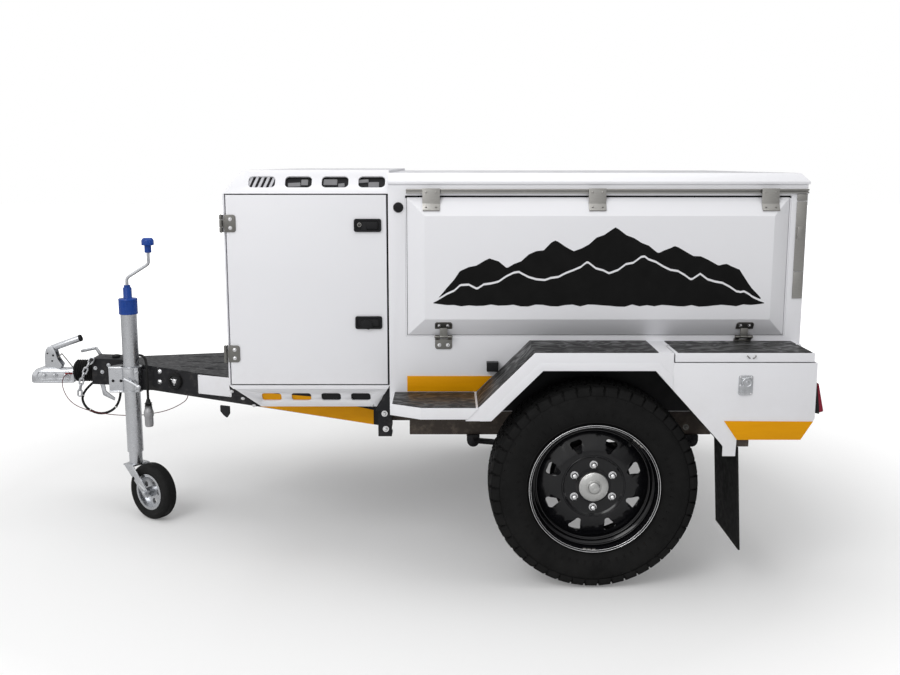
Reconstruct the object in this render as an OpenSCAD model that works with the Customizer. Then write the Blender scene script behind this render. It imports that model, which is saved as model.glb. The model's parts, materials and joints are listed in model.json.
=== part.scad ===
// Off-road camping trailer: A-frame drawbar, nose box, hollow body with drop-down side doors, rear lockers.
// Stations are millimetres from the axle's centre line: X towards the rear, Y towards the right, Z up from the ground.

/* [Body] */
// Half width of the body, centre plane to side skin
body_half = 665; // [620:5:720]
// Axle to the body's rear face
body_rear = 690; // [660:5:760]
// Axle to the body's front face
body_front = 655; // [620:5:700]
// Height of the underside of the floor
floor_z = 536; // [520:1:550]
// Height of the side walls' top edge
body_top = 1281; // [1240:1:1360]
// Thickness of a wall or door
wall = 22; // [16:1:26]
// Thickness of folded sheet metal
sheet = 5; // [3:0.5:6]
// Rise of the roof pan over the walls
roof_rise = 35; // [20:1:60]
// Slope of the roof's edge, inwards
roof_inset = 25; // [10:1:60]
// Roof lip past the body on every free side
roof_lip = 5; // [2:1:5]

/* [Side doors] */
// Width of the body's front post
front_post = 61; // [50:1:90]
// Width of the body's rear post
rear_post = 58; // [54:1:90]
// Height of the door's lower edge
door_sill = 793; // [788:1:810]
// Height of the door
door_height = 446; // [400:1:446]
// Width of the bevel round the raised field
door_bevel = 57; // [40:1:80]
// Height of the raised field over the skin
door_raise = 40; // [20:1:42]
// Gap round a door
door_gap = 6; // [5:0.5:7]
// Width of a clip or hinge
fitting_w = 56; // [40:1:70]
// Distance of the side hinge axis from the skin
hinge_off = 20; // [16:1:22]
// Height of the awning rail
rail_h = 14; // [8:1:16]
// Depth of the awning rail
rail_d = 10; // [6:1:10]

/* [Nose box] */
// Length of the nose box
nose_len = 530; // [480:5:560]
// Height of the nose door's sill
nose_sill = 624; // [612:1:640]
// Height of the nose door's opening
nose_open = 627; // [560:1:640]
// Rise of the sloped top rim
cap_rise = 74; // [50:1:90]
// Inward run of the sloped top rim
cap_inset = 55; // [40:1:70]
// Drop of the slotted valance under the sill
valance_drop = 83; // [70:1:90]
// Inward run of the valance
valance_inset = 50; // [30:1:60]
// Run of the valance's front end
valance_front = 96; // [60:1:110]
// Run of the valance's rear end
valance_rear = 47; // [30:1:60]
// Number of slots in a row
slot_count = 4; // [3:1:4]
// Length of a top slot
top_slot_l = 86; // [60:1:95]
// Pitch of the top slots
top_slot_pitch = 118; // [100:1:122]
// Length of a valance slot
low_slot_l = 65; // [40:1:80]
// Pitch of the valance slots
low_slot_pitch = 99; // [85:1:104]

/* [Wheels] */
// Tyre radius
tyre_r = 334; // [315:1:345]
// Tyre section width
tyre_w = 195; // [175:1:200]
// Centre plane to the wheel's centre
track_half = 777; // [775:1:785]
// Radius of the rim's flange
rim_r = 208; // [190:1:215]
// Stud circle diameter
stud_pcd = 139.7; // [114:0.1:150]
// Number of windows in the wheel disc
window_count = 8; // [6:1:9]

/* [Guards and lockers] */
// Centre plane to the guard's outer face
guard_out = 885; // [880:1:900]
// Height of the guard's top
guard_top = 772; // [755:1:772]
// Depth of the guard's face
guard_face = 55; // [35:1:60]
// Axle to the front end of the flat top
guard_flat = 194; // [180:1:210]
// Axle to the front end of the locker
locker_front = 232; // [225:1:250]
// Axle to the locker's rear face
locker_rear = 674; // [660:1:685]
// Height of the locker's bottom
locker_bottom = 499; // [485:1:505]
// Depth of the locker lid
lid_h = 27; // [20:1:30]
// Centre plane to the lid's hinge line
lid_hinge = 733; // [728:1:740]
// Height of the step board's top
step_top = 599; // [590:1:610]
// Depth of the step's skirt
step_skirt = 35; // [20:1:40]

/* [Chassis and drawbar] */
// Centre plane to the chassis rail's outer face
rail_out = 540; // [500:1:550]
// Width of a chassis rail
rail_w = 50; // [40:1:60]
// Height of a chassis rail
chassis_h = 62; // [50:1:70]
// Angle of a drawbar rail from the centre plane
draw_angle = 24.3; // [23.5:0.1:25]
// Height of a drawbar rail
draw_h = 88; // [76:1:95]
// Width of a drawbar rail
draw_w = 45; // [36:1:50]
// Rise angle of the drawbar towards the coupler
draw_rake = 2.2; // [1.8:0.1:2.6]
// Radius of the ball socket
ball_r = 25.5; // [24:0.1:26]

/* [Jockey stand] */
// Ahead of the axle, the stand's centre line
stand_x = 1672; // [1665:1:1680]
// Left of the centre plane, the stand's centre line
stand_y = 132; // [130:1:136]
// Radius of the outer tube
stand_r = 30; // [28:0.5:32]
// Wall of the outer tube
stand_wall = 4; // [3:0.5:5]
// Radius of the small wheel
jockey_r = 108; // [100:1:110]
// Width of the small wheel
jockey_w = 60; // [50:1:64]
// Swivel offset of the small wheel
jockey_trail = 95; // [90:1:100]
// Swivel angle in the parked position
jockey_angle = -35; // [-40:1:-30]

/* [Hidden] */
$fn = 48;

LEFT = -1;
RIGHT = 1;
// Clearance of pieces that seat on each other, and of a pin in its bore
seat = 0.3;
// Ahead of the axle, the coupler's tip, and behind it, the tail lamps
coupler_tip = 2106;
lamp_tip = locker_rear + 31;
// The part's origin lies under the middle of its length
axle_x = (coupler_tip - lamp_tip) / 2;

door_x0 = -body_front + front_post;
door_x1 = body_rear - rear_post;
door_top = door_sill + door_height;
side_axis_z = door_sill - 3;
rail_z = door_top + door_gap + 7;
nose_front = body_front + nose_len;
nose_top = nose_sill + nose_open;
cap_top = nose_top + cap_rise;
valance_z = nose_sill - valance_drop;
nose_floor = floor_z + 30;
nose_axis_x = -nose_front - 6;
nose_axis_y = -body_half - 6;
// Edges of the guard: front slope at 45 degrees, rear slope of the opening by its run for each unit of drop
guard_low = step_top - 41;
slope_out = -guard_flat - guard_top;
slope_in = slope_out + guard_face * sqrt(2) + 2;
open_top = guard_top - guard_face;
open_rear = 177;
rear_run = 0.91;
box_top = guard_top - lid_h - 3;
leg_x = 393;
leg_w = 40;
leg_drop = 53;
rear_cut_x = 41;
rear_cut_z = 67;
step_front = 645;
step_rear = -slope_out - step_top + 2;
chassis_front = body_front;
draw_z = floor_z - draw_h + 4;
draw_root = rail_out + 10;
draw_nose = 1764;
head_r = 35;
head_h = 65;
head_z = 497;
ball_x = -coupler_tip + head_r;
stand_top = 785;
stand_bottom = 251;
inner_r = stand_r - stand_wall - 1;
fork_z = jockey_r + 91;
fork_t = 6;
clamp_z = 487;
clamp_h = 97;
axle_w = 46;
leaf_t = 6;
leaf_count = 4;
spring_y = rail_out - rail_w / 2;
spring_span = 370;
spring_z = tyre_r + axle_w / 2 + leaf_count * leaf_t + seat;
spring_sag = 18;
eye_r = 13;
eye_z = spring_z + spring_sag + 5;
doubler_h = 50;
hub_in = 8;
stub_r = 20;
bearing = 28;
lid_pin_r = 1.6;
lid_knuckle_r = 3.4;
lid_axis_z = guard_top - 4;
lid_hinge_x = [300, 590];
rear_half = 560;
rear_z0 = 610;
rear_z1 = 1236;
rear_axis_x = body_rear + 7;
rear_axis_y = rear_half + door_gap + 2;

// Places of like pieces: stations of the side clips, the side hinges and the rear hinges' heights
clip_x = [-516, 14, 566];
side_hinge_x = [-477, 500];
nose_hinge_z = [730, 1156];
rear_hinge_z = [730, 1116];
nose_latch_z = [834, 1150];
cross_x = [-560, -190, 190, 600];

function draw_half(x) = draw_root + (x + chassis_front) * tan(draw_angle);
function open_x(z) = open_rear + (open_top - z) * rear_run;

module both() {
    children();
    mirror([0, 1, 0]) children();
}

module on_side(side) {
    if (side == LEFT) children();
    else mirror([0, 1, 0]) children();
}

// A side profile, drawn in X and Z, between two stations across the trailer
module across(y0, y1) {
    translate([0, y1, 0]) rotate([90, 0, 0]) linear_extrude(y1 - y0) children();
}

// An end profile, drawn in Y and Z, between two stations along the trailer
module along(x0, x1) {
    translate([x0, 0, 0]) rotate([90, 0, 90]) linear_extrude(x1 - x0) children();
}

module block(x0, x1, y0, y1, z0, z1) {
    translate([x0, y0, z0]) cube([x1 - x0, y1 - y0, z1 - z0]);
}

module rounded(w, h, r) {
    square([w - 2 * r, h], center = true);
    square([w, h - 2 * r], center = true);
    for (x = [-1, 1], y = [-1, 1]) translate([x * (w / 2 - r), y * (h / 2 - r)]) circle(r);
}

module slot(l, w) {
    square([l - w, w], center = true);
    for (x = [-1, 1]) translate([x * (l - w) / 2, 0]) circle(w / 2);
}

// A round bar between two points
module rod(a, b, r) {
    d = b - a;
    translate(a) rotate([0, acos(d.z / norm(d)), atan2(d.y, d.x)]) cylinder(r = r, h = norm(d));
}

// A tube swept along a list of points, closed into a ring or with flat ends
function unit(v) = v / norm(v);
function heading(p, i, loop) = let (n = len(p))
    unit(loop ? p[(i + 1) % n] - p[(i + n - 1) % n] : p[min(i + 1, n - 1)] - p[max(i - 1, 0)]);
function normals(t, i, last, out) = i == len(t) ? out :
    let (m = unit(last - (last * t[i]) * t[i])) normals(t, i + 1, m, concat(out, [m]));
function ring(p, t, m, r, sides) = let (b = cross(t, m))
    [for (k = [0:sides - 1]) p + r * (cos(360 * k / sides) * m + sin(360 * k / sides) * b)];
function mid_point(a, b, c, d, s) = 0.5 * (2 * b + (c - a) * s + (2 * a - 5 * b + 4 * c - d) * s * s
    + (3 * b - a - 3 * c + d) * s * s * s);
function smooth(p, steps) = let (n = len(p)) concat(
    [for (i = [0:n - 2], k = [0:steps - 1])
        mid_point(p[max(i - 1, 0)], p[i], p[i + 1], p[min(i + 2, n - 1)], k / steps)], [p[n - 1]]);

module tube(p, r, sides, loop = false) {
    n = len(p);
    t = [for (i = [0:n - 1]) heading(p, i, loop)];
    first = abs(t[0].y) < 0.9 ? [0, 1, 0] : [0, 0, 1];
    m = normals(t, 0, first, []);
    points = [for (i = [0:n - 1]) each ring(p[i], t[i], m[i], r, sides)];
    sides_list = [for (i = [0:(loop ? n - 1 : n - 2)], k = [0:sides - 1])
        let (a = i * sides, b = ((i + 1) % n) * sides, j = (k + 1) % sides) [a + k, b + k, b + j, a + j]];
    caps = loop ? [] : [[for (k = [0:sides - 1]) k], [for (k = [sides - 1:-1:0]) (n - 1) * sides + k]];
    polyhedron(points, concat(sides_list, caps));
}

// One hinge, along its own Z from zero: the fixed half has the pin and two knuckles, the moving half the middle one
knuckle_r = 5.5;
pin_r = 2.6;
module hinge_fixed(l) {
    for (z = [0, l - l * 0.27]) translate([0, 0, z]) cylinder(r = knuckle_r, h = l * 0.27);
    translate([0, 0, 1]) cylinder(r = pin_r, h = l - 2);
}

module hinge_moving(l) {
    translate([0, 0, l * 0.27 + 1]) difference() {
        cylinder(r = knuckle_r, h = l * 0.46 - 2);
        translate([0, 0, -1]) cylinder(r = pin_r + seat, h = l);
    }
}

// Chassis: two rails with doublers, cross members and the bars that carry the rear lockers
module chassis_frame() color([0.23, 0.2, 0.18]) {
    both() {
        block(-chassis_front, body_rear - 20, -rail_out, -rail_out + rail_w, floor_z - chassis_h, floor_z);
        block(-chassis_front + 60, leg_x + 50, -rail_out, -rail_out + rail_w - 6,
            floor_z - chassis_h - doubler_h, floor_z - chassis_h);
        block(leg_x + 43, leg_x + 83, -guard_out + 10, -rail_out, locker_bottom - 25, locker_bottom);
    }
    for (x = cross_x)
        block(x - 20, x + 20, -rail_out + rail_w, rail_out - rail_w, floor_z - chassis_h + 8, floor_z);
    block(-chassis_front, -chassis_front + 30, -rail_out + rail_w, rail_out - rail_w,
        floor_z - chassis_h, floor_z);
}

// The drawbar's own frame, raked up towards the coupler
module raked() {
    translate([-chassis_front, 0, draw_z]) rotate([0, draw_rake, 0]) translate([chassis_front, 0, 0]) children();
}

module draw_plan(out, width) {
    skew = width / cos(draw_angle);
    y0 = draw_half(-chassis_front) + out;
    y1 = draw_half(-draw_nose) + out;
    polygon([[-chassis_front, -y0], [-draw_nose, -y1], [-draw_nose, -y1 + skew], [-chassis_front, -y0 + skew]]);
}

module draw_rail() difference() {
    raked() linear_extrude(draw_h) draw_plan(0, draw_w);
    block(-chassis_front - seat, 0, -body_half, 0, 0, body_top);
}

module drawbar() color([0.12, 0.12, 0.13]) {
    both() draw_rail();
    raked() {
        block(-draw_nose - 90, -draw_nose + 60, -50, 50, -2, draw_h + 12);
        for (x = [-1500, -1150])
            block(x - 20, x + 20, -draw_half(x) + 30, draw_half(x) - 30, 10, draw_h - 6);
    }
    // The bolt that holds the chain's first link
    translate([-1844.5, -48, 596]) rotate([90, 0, 0]) {
        cylinder(r = 3, h = 22);
        translate([0, 0, 21]) cylinder(r = 6.5, h = 5);
    }
    for (x = [-1100, -720])
        block(x - 25, x + 25, -draw_half(x) + 60, draw_half(x) - 60, nose_floor - 50, nose_floor);
}

// The slotted deck plate between the rails
deck_front = 1690;
module drawbar_deck() color([0.25, 0.25, 0.26]) raked() translate([0, 0, draw_h]) difference() {
    linear_extrude(sheet) polygon([for (s = [[-deck_front, -1], [-nose_front - 5, -1], [-nose_front - 5, 1],
        [-deck_front, 1]]) [s.x, s.y * (draw_half(s.x) - 4)]]);
    for (x = [-1260, -1360, -1460], y = [-1, 0, 1])
        translate([x, y * draw_half(x) * 0.55, -1]) linear_extrude(sheet + 2) slot(74, 10);
}

// Dark brackets: edge strips of the valance, gussets at the body's front and the jockey stand's bracket
edge_t = 8;
module valance_edge() {
    polygon([[-nose_front, nose_sill], [-nose_front + valance_front, valance_z],
        [-nose_front + valance_front - 24, valance_z], [-nose_front - 0.01, nose_sill - 22]]);
}

module frame_brackets() color([0.1, 0.1, 0.11]) {
    both() {
        intersection() {
            across(-body_half, -body_half + valance_inset + 20) valance_edge();
            along(-nose_front - 10, -body_front) valance_skin(edge_t);
        }
        block(-body_front - 46, -body_front, -draw_root - 22, -draw_root - 2, draw_z - 26, floor_z + 4);
        block(-body_front - 46, -body_front, -draw_root - 2, -rail_out + 30, draw_z - 26, draw_z - 18);
    }
    difference() {
        block(-stand_x + 36, -stand_x + 82, -stand_y + 4, -stand_y + 44, clamp_z + 2, clamp_z + 82);
        draw_rail();
    }
}

// Main body: floor, front, sides and rear frame, with the door openings cut
module body_shell() color([0.91, 0.91, 0.93]) difference() {
    block(-body_front, body_rear, -body_half, body_half, floor_z, body_top);
    block(-body_front + wall, body_rear - wall, -body_half + wall, body_half - wall, floor_z + wall, body_top + 1);
    block(door_x0 - door_gap, door_x1 + door_gap, -body_half - 1, body_half + 1,
        door_sill - door_gap, door_top + door_gap);
    block(body_rear - wall - 1, body_rear + 1, -rear_half - door_gap, rear_half + door_gap,
        rear_z0 - door_gap, rear_z1 + door_gap);
}

module roof_form(inset) {
    half = body_half + roof_lip - inset;
    rear = body_rear + roof_lip - inset;
    top = body_top + roof_rise - inset;
    intersection() {
        across(-half, half) polygon([[-body_front, body_top], [rear, body_top], [rear, body_top + 8],
            [rear - roof_inset, top], [-body_front, top]]);
        along(-body_front, rear) polygon([[-half, body_top], [half, body_top], [half, body_top + 8],
            [half - roof_inset, top], [-half + roof_inset, top], [-half, body_top + 8]]);
    }
}

module roof_pan() color([0.93, 0.93, 0.94]) difference() {
    roof_form(0);
    translate([0, 0, -1]) intersection() {
        roof_form(sheet + 3);
        block(-body_front + wall, body_rear - wall, -body_half + wall, body_half - wall, 0, body_top + 100);
    }
}

// Nose box: front wall, floor, sloped underside and rear wall, open at both sides for the doors
door_seat = body_half - wall - 2;
module nose_profile(t) {
    polygon([[-nose_front + t, nose_top + (t > 0 ? 1 : 0)], [-nose_front + t, nose_sill],
        [-nose_front + valance_front * (nose_sill - nose_floor) / valance_drop + t, nose_floor + t],
        [-body_front - (t > 0 ? 6 : 0), nose_floor + t], [-body_front - (t > 0 ? 6 : 0), nose_top + (t > 0 ? 1 : 0)]]);
}

module nose_shell() color([0.91, 0.91, 0.93]) {
    difference() {
        across(-door_seat, door_seat) nose_profile(0);
        across(-door_seat - 1, door_seat + 1) nose_profile(wall - 4);
        both() along(-nose_front - 1, -body_front + 1) polygon([[-body_half - 10, nose_sill],
            [-body_half + edge_t + seat, nose_sill], [-body_half + valance_inset + edge_t + seat, valance_z],
            [-body_half - 10, valance_z]]);
    }
    both() block(-nose_front, -nose_front + sheet, -body_half, -door_seat, nose_sill, nose_top);
}

module cap_form(inset) {
    half = body_half - inset;
    front = nose_front - inset;
    intersection() {
        across(-half, half) polygon([[-front, nose_top], [-body_front, nose_top],
            [-body_front, cap_top - inset], [-front + cap_inset, cap_top - inset]]);
        along(-front, -body_front) polygon([[-half, nose_top], [half, nose_top],
            [half - cap_inset, cap_top - inset], [-half + cap_inset, cap_top - inset]]);
    }
}

module valance_skin(t) {
    polygon([[-body_half, nose_sill], [-body_half + valance_inset, valance_z],
        [-body_half + valance_inset + t, valance_z], [-body_half + t, nose_sill]]);
}

// The slotted skins: the sloped rim over the doors and the valances under them
module nose_vents() color([0.92, 0.92, 0.93]) {
    top_mid = (nose_top + cap_top) / 2;
    low_mid = (nose_sill + valance_z) / 2;
    centre = -body_front - (nose_len - valance_front + valance_rear) / 2 - 6;
    difference() {
        cap_form(0);
        translate([0, 0, -0.01]) intersection() {
            cap_form(sheet);
            block(-nose_front + wall, -body_front - sheet, -door_seat, door_seat, nose_top - 1, cap_top);
        }
        both() for (i = [0:slot_count - 1])
            translate([-nose_front + 123 + i * top_slot_pitch, -body_half + cap_inset / 2, top_mid])
                rotate([90 - atan(cap_inset / cap_rise), 0, 0]) linear_extrude(60, center = true)
                    rounded(top_slot_l, 44, 14);
    }
    both() difference() {
        intersection() {
            union() {
                along(-nose_front, -body_front) valance_skin(sheet);
                block(-nose_front, -body_front, -body_half, -door_seat, nose_sill - 12, nose_sill);
            }
            across(-body_half - 1, 0) polygon([[-nose_front, nose_sill],
                [-nose_front + valance_front, valance_z], [-body_front - valance_rear, valance_z],
                [-body_front, nose_sill]]);
        }
        for (i = [0:slot_count - 1])
            translate([centre + (i - (slot_count - 1) / 2) * low_slot_pitch, -body_half + valance_inset / 2 - 2,
                low_mid - 6]) rotate([90 + atan(valance_inset / valance_drop), 0, 0])
                linear_extrude(60, center = true) rounded(low_slot_l, 34, 10);
        across(-body_half - 1, -door_seat + 60) valance_edge();
    }
}

module awning_rails() color([0.6, 0.6, 0.61]) both()
    along(door_x0 - 3, body_rear) difference() {
        translate([-body_half - rail_d, rail_z]) square([rail_d, rail_h]);
        translate([-body_half - rail_d / 2, rail_z + rail_h / 2]) circle(rail_h / 2 - 3.5);
        translate([-body_half - rail_d - 1, rail_z + rail_h / 2 - 1.5]) square([rail_d / 2, 3]);
    }

// Stainless corner strip in three lengths, with the rear catch between them
strip_breaks = [[914, 1000], [1002, 1226], [1229, 1250]];
module corner_strips() color([0.55, 0.54, 0.53]) both() {
    for (s = strip_breaks) block(body_rear - 35, body_rear - 3, -body_half - 4, -body_half, s[0], s[1]);
    block(body_rear - 31, body_rear - 13, -body_half - 12, -body_half - 4, 1108, 1146);
}

// Mudguards: folded top sheet and outer face in one
module guard_strip(t) {
    polygon([[slope_out + guard_low, guard_low], [-guard_flat, guard_top], [locker_front, guard_top],
        [locker_front, guard_top - t], [slope_out + t * sqrt(2) + guard_top - t, guard_top - t],
        [slope_out + t * sqrt(2) + guard_low, guard_low]]);
}

module mudguards() color([0.93, 0.93, 0.94]) both() {
    across(-guard_out, -body_half) guard_strip(sheet);
    across(-guard_out, -guard_out + sheet) polygon([[slope_out + guard_low, guard_low], [-guard_flat, guard_top],
        [locker_front, guard_top], [locker_front, open_top - (locker_front - open_rear) / rear_run],
        [open_rear, open_top], [slope_in + open_top, open_top], [slope_in + guard_low, guard_low]]);
}

// Black non-slip plates on the guards and the steps
plate_t = 3;
plate_edge = 7;
module tread_plates() color([0.13, 0.13, 0.13]) both() {
    across(-guard_out + plate_edge, -body_half) polygon([[-step_rear + 4, -step_rear + 4 - slope_out],
        [-guard_flat, guard_top], [open_rear + 8, guard_top], [open_rear + 8, guard_top + plate_t],
        [-guard_flat - 1, guard_top + plate_t], [-step_rear, -step_rear + 4 - slope_out]]);
    translate([0, 0, step_top]) linear_extrude(plate_t) step_plan(plate_edge);
}

module step_plan(e) {
    polygon([[-step_front + e, -body_half], [-step_front + e, -guard_out + 58 + e * 0.5],
        [-step_front + 98 + e * 0.5, -guard_out - 3 + e], [-step_rear - e, -guard_out - 3 + e],
        [-step_rear - e, -body_half]]);
}

module step_boards() color([0.93, 0.93, 0.94]) both() difference() {
    translate([0, 0, step_top - step_skirt]) linear_extrude(step_skirt) difference() {
        step_plan(0);
        translate([-step_rear - 1, -guard_out - 10]) square([10, 10]);
    }
    translate([0, 0, step_top - step_skirt - 1]) linear_extrude(step_skirt - sheet + 1) step_plan(sheet);
    across(-guard_out - 5, -body_half + 1) polygon([[slope_out + guard_low - 40, guard_low - 40],
        [slope_out + step_top + 20, step_top + 20], [slope_out + step_top + 60, guard_low - 40]]);
}

// Rear lockers: the outer face with its leg, a hollow box behind it and the strip that the lid hinges on
module locker_outline(t) {
    polygon([[locker_front + t, box_top + (t > 0 ? 1 : 0)], [locker_rear - t, box_top + (t > 0 ? 1 : 0)],
        [locker_rear - t, locker_bottom + rear_cut_z], [locker_rear - rear_cut_x - t / 2, locker_bottom + t],
        [open_x(locker_bottom + t) + t * 1.35, locker_bottom + t],
        [locker_front + t, open_top - (locker_front - open_rear - t * 0.35) / rear_run]]);
}

module lockers() color([0.93, 0.93, 0.94]) both() {
    difference() {
        across(-guard_out, -body_half) locker_outline(0);
        across(-guard_out + sheet, -body_half - sheet) locker_outline(sheet);
    }
    across(-guard_out, -guard_out + sheet) polygon([[open_x(locker_bottom), locker_bottom],
        [leg_x, locker_bottom - leg_drop + 32], [leg_x, locker_bottom - leg_drop],
        [leg_x + leg_w, locker_bottom - leg_drop], [leg_x + leg_w + 2, locker_bottom]]);
    block(leg_x + leg_w - sheet, leg_x + leg_w, -guard_out, -guard_out + 40, locker_bottom - leg_drop, locker_bottom);
    block(locker_front, locker_rear, -lid_hinge + 4, -body_half, box_top, guard_top);
    lid_knuckles([[0, 14], [36, 14]], 0);
    for (x = lid_hinge_x) rod([x + 1, -lid_hinge, lid_axis_z], [x + 49, -lid_hinge, lid_axis_z], lid_pin_r);
}

// Knuckles along the lid's hinge line, each a start and a length, with a web to one side
module lid_knuckles(parts, side) for (x = lid_hinge_x, s = parts) translate([x + s[0], -lid_hinge, lid_axis_z]) {
    rotate([0, 90, 0]) cylinder(r = lid_knuckle_r, h = s[1]);
    translate([0, -6 * side, -1.5]) cube([s[1], 6, 3]);
}

module locker_latches() color([0.6, 0.59, 0.57]) both() translate([455, -guard_out, 672]) {
    across(-3, 0) rounded(44, 62, 6);
    translate([0, -3, 8]) rotate([90, 0, 0]) cylinder(r = 15, h = 9);
    across(-9, -3) translate([-8, -14]) rounded(20, 30, 5);
}

module mudflaps() color([0.05, 0.05, 0.05]) both()
    intersection() {
        across(-guard_out + 4, -600) polygon([[leg_x + leg_w + 4, locker_bottom - 25],
            [leg_x + leg_w + 10, locker_bottom - 25], [leg_x + leg_w + 30, 137], [leg_x + leg_w + 24, 137]]);
        block(0, 1000, -guard_out, 0, 100, locker_bottom - 25);
    }

// Axle: square beam, stub ends and brake back plates
back_plate_r = 128;
module axle_beam() color([0.12, 0.12, 0.12]) {
    block(-axle_w / 2, axle_w / 2, -track_half + 60, track_half - 60, tyre_r - axle_w / 2, tyre_r + axle_w / 2);
    both() translate([0, -track_half + 62, tyre_r]) rotate([90, 0, 0]) {
        cylinder(r = back_plate_r, h = 6);
        cylinder(r = stub_r, h = 62 + bearing);
    }
}

// Leaf springs: a pack of curved leaves with rolled eyes
module leaf_springs() color([0.14, 0.13, 0.13]) both() {
    bend = (spring_span * spring_span + spring_sag * spring_sag) / (2 * spring_sag);
    across(-spring_y - 28, -spring_y + 28) {
        for (i = [0:leaf_count - 1]) intersection() {
            translate([0, spring_z + bend]) difference() {
                circle(bend + i * leaf_t + leaf_t, $fn = 240);
                circle(bend + i * leaf_t, $fn = 240);
            }
            translate([-spring_span + i * 62, 0]) square([2 * (spring_span - i * 62), floor_z]);
        }
        for (x = [-1, 1]) translate([x * (spring_span + 6), eye_z]) difference() {
            circle(eye_r);
            circle(8);
        }
    }
}

module spring_hangers() color([0.1, 0.1, 0.1]) both() {
    top = floor_z - chassis_h - doubler_h - seat;
    for (x = [-1, 1]) translate([x * (spring_span + 6), 0, 0]) {
        for (y = [-1, 1]) across(-spring_y + y * 34 - 3, -spring_y + y * 34 + 3) {
            translate([-22, eye_z]) square([44, top - eye_z]);
            translate([0, eye_z]) circle(21);
        }
        block(-22, 22, -spring_y - 37, -spring_y + 37, top - 4, top);
        across(-spring_y - 40, -spring_y + 40) translate([0, eye_z]) circle(8 - seat);
    }
    for (x = [-38, 38]) for (y = [-1, 1])
        translate([x, -spring_y + y * 35, tyre_r - axle_w / 2 - 12]) cylinder(r = 6, h = axle_w + leaf_count * leaf_t + 28);
    block(-50, 50, -spring_y - 44, -spring_y + 44, tyre_r - axle_w / 2 - 10, tyre_r - axle_w / 2 - seat);
    block(-50, 50, -spring_y - 44, -spring_y + 44, spring_z + 2, spring_z + 9);
}

// Tail lamps: a black wedge housing and its lens
lamp_z0 = 582;
lamp_z1 = 676;
module lamp_housings() color([0.06, 0.06, 0.06]) both() across(-guard_out + 12, -body_half - 30)
    polygon([[locker_rear, lamp_z0], [locker_rear + 18, lamp_z0 - 4], [locker_rear + 6, lamp_z1],
        [locker_rear, lamp_z1]]);

module lamp_lenses() color([0.45, 0.05, 0.09]) both() across(-guard_out + 14, -body_half - 34)
    polygon([[locker_rear + 18 + seat, lamp_z0], [lamp_tip, lamp_z0 + 4], [lamp_tip - 2, lamp_z0 + 14],
        [locker_rear + 12, lamp_z1 - 2], [locker_rear + 6 + seat, lamp_z1 - 2]]);

// Orange bands: on the body over the step, on the lockers and along the drawbar rails
band_t = 2;
module colour_bands() color([0.93, 0.62, 0.03]) both() {
    band_low = step_top + plate_t + 2;
    band_high = step_top + 57;
    guard_gap = plate_t * sqrt(2) + 2;
    across(-body_half - band_t, -body_half) polygon([[door_x0 - 3, band_low], [slope_out + band_low - guard_gap, band_low],
        [slope_out + band_high - guard_gap, band_high], [door_x0 - 3, band_high]]);
    across(-guard_out - band_t, -guard_out) polygon([[leg_x, locker_bottom + 60],
        [locker_rear - 5, locker_bottom + 58], [locker_rear - rear_cut_x, locker_bottom],
        [leg_x + leg_w + 2, locker_bottom]]);
    intersection() {
        raked() linear_extrude(200) difference() {
            draw_plan(3, 3 + draw_w);
            draw_plan(0, draw_w + 30);
        }
        across(-body_half, 0) polygon([[-1150, draw_z + 21], [-720, draw_z + 3], [-720, draw_z + 54],
            [-860, draw_z + 68], [-1080, draw_z + 92], [-1150, draw_z + 92]]);
    }
}

// Coupler: pressed head with the ball socket, and the neck that runs back to the shaft
neck_x = -1933;
module coupler_body() color([0.72, 0.73, 0.74]) difference() {
    union() {
        translate([0, 0, head_z]) linear_extrude(head_h - 20) {
            translate([ball_x, 0]) circle(head_r);
            polygon([[ball_x, -head_r], [neck_x - 60, -30], [neck_x, -30], [neck_x, 30], [neck_x - 60, 30],
                [ball_x, head_r]]);
        }
        translate([0, 0, head_z]) linear_extrude(head_h) {
            translate([ball_x + 4, 0]) circle(head_r - 7);
            polygon([[ball_x, -head_r + 7], [neck_x, -24], [neck_x, 24], [ball_x, head_r - 7]]);
        }
        translate([0, 0, head_z]) linear_extrude(6) {
            translate([ball_x, 0]) circle(head_r);
            translate([ball_x, -head_r]) square([-ball_x + neck_x - 40, 2 * head_r]);
        }
    }
    translate([ball_x, 0, head_z - 1]) cylinder(r = ball_r, h = 25);
    translate([ball_x, 0, head_z + 24]) sphere(ball_r);
}

module coupler_handle() color([0.7, 0.7, 0.71]) {
    for (y = [-14, 10]) across(y, y + 4) polygon([[-2036, head_z + head_h], [-2010, head_z + head_h],
        [-2006, 618], [-2018, 634], [-2036, 620]]);
    across(-12, 12) polygon([[-2034, 608], [-2008, 604], [-1912, 650], [-1920, 674], [-2016, 636], [-2032, 624]]);
    rod([-1930, 0, 657], [-1902, 0, 668], 13);
}

lever_y = 62;
module handbrake_lever() color([0.5, 0.5, 0.51]) {
    across(lever_y, lever_y + 6) polygon([[-1856, 520], [-1844, 520], [-1846, 590], [-1866, 622], [-1876, 618],
        [-1858, 586]]);
    rod([-1870, lever_y + 3, 619], [-1930, lever_y + 3, 606], 6);
    block(-1880, -1830, 50 + seat, lever_y, 516, 560);
    across(20, 28) polygon([[-1850, 495.5], [-1832, 494.8], [-1826, 452], [-1792, 424], [-1794, 414], [-1838, 436]]);
}

shaft_z = 541;
shaft_l = 79.6;
module shaft_bellows() color([0.07, 0.07, 0.07]) translate([neck_x + seat, 0, shaft_z]) rotate([0, 90, 0])
    rotate_extrude() polygon(concat([[0, 0]], [for (i = [0:8]) [i % 2 == 0 ? 36 : 44, 4 + i * 8.6]],
        [[36, shaft_l], [0, shaft_l]]));

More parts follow.
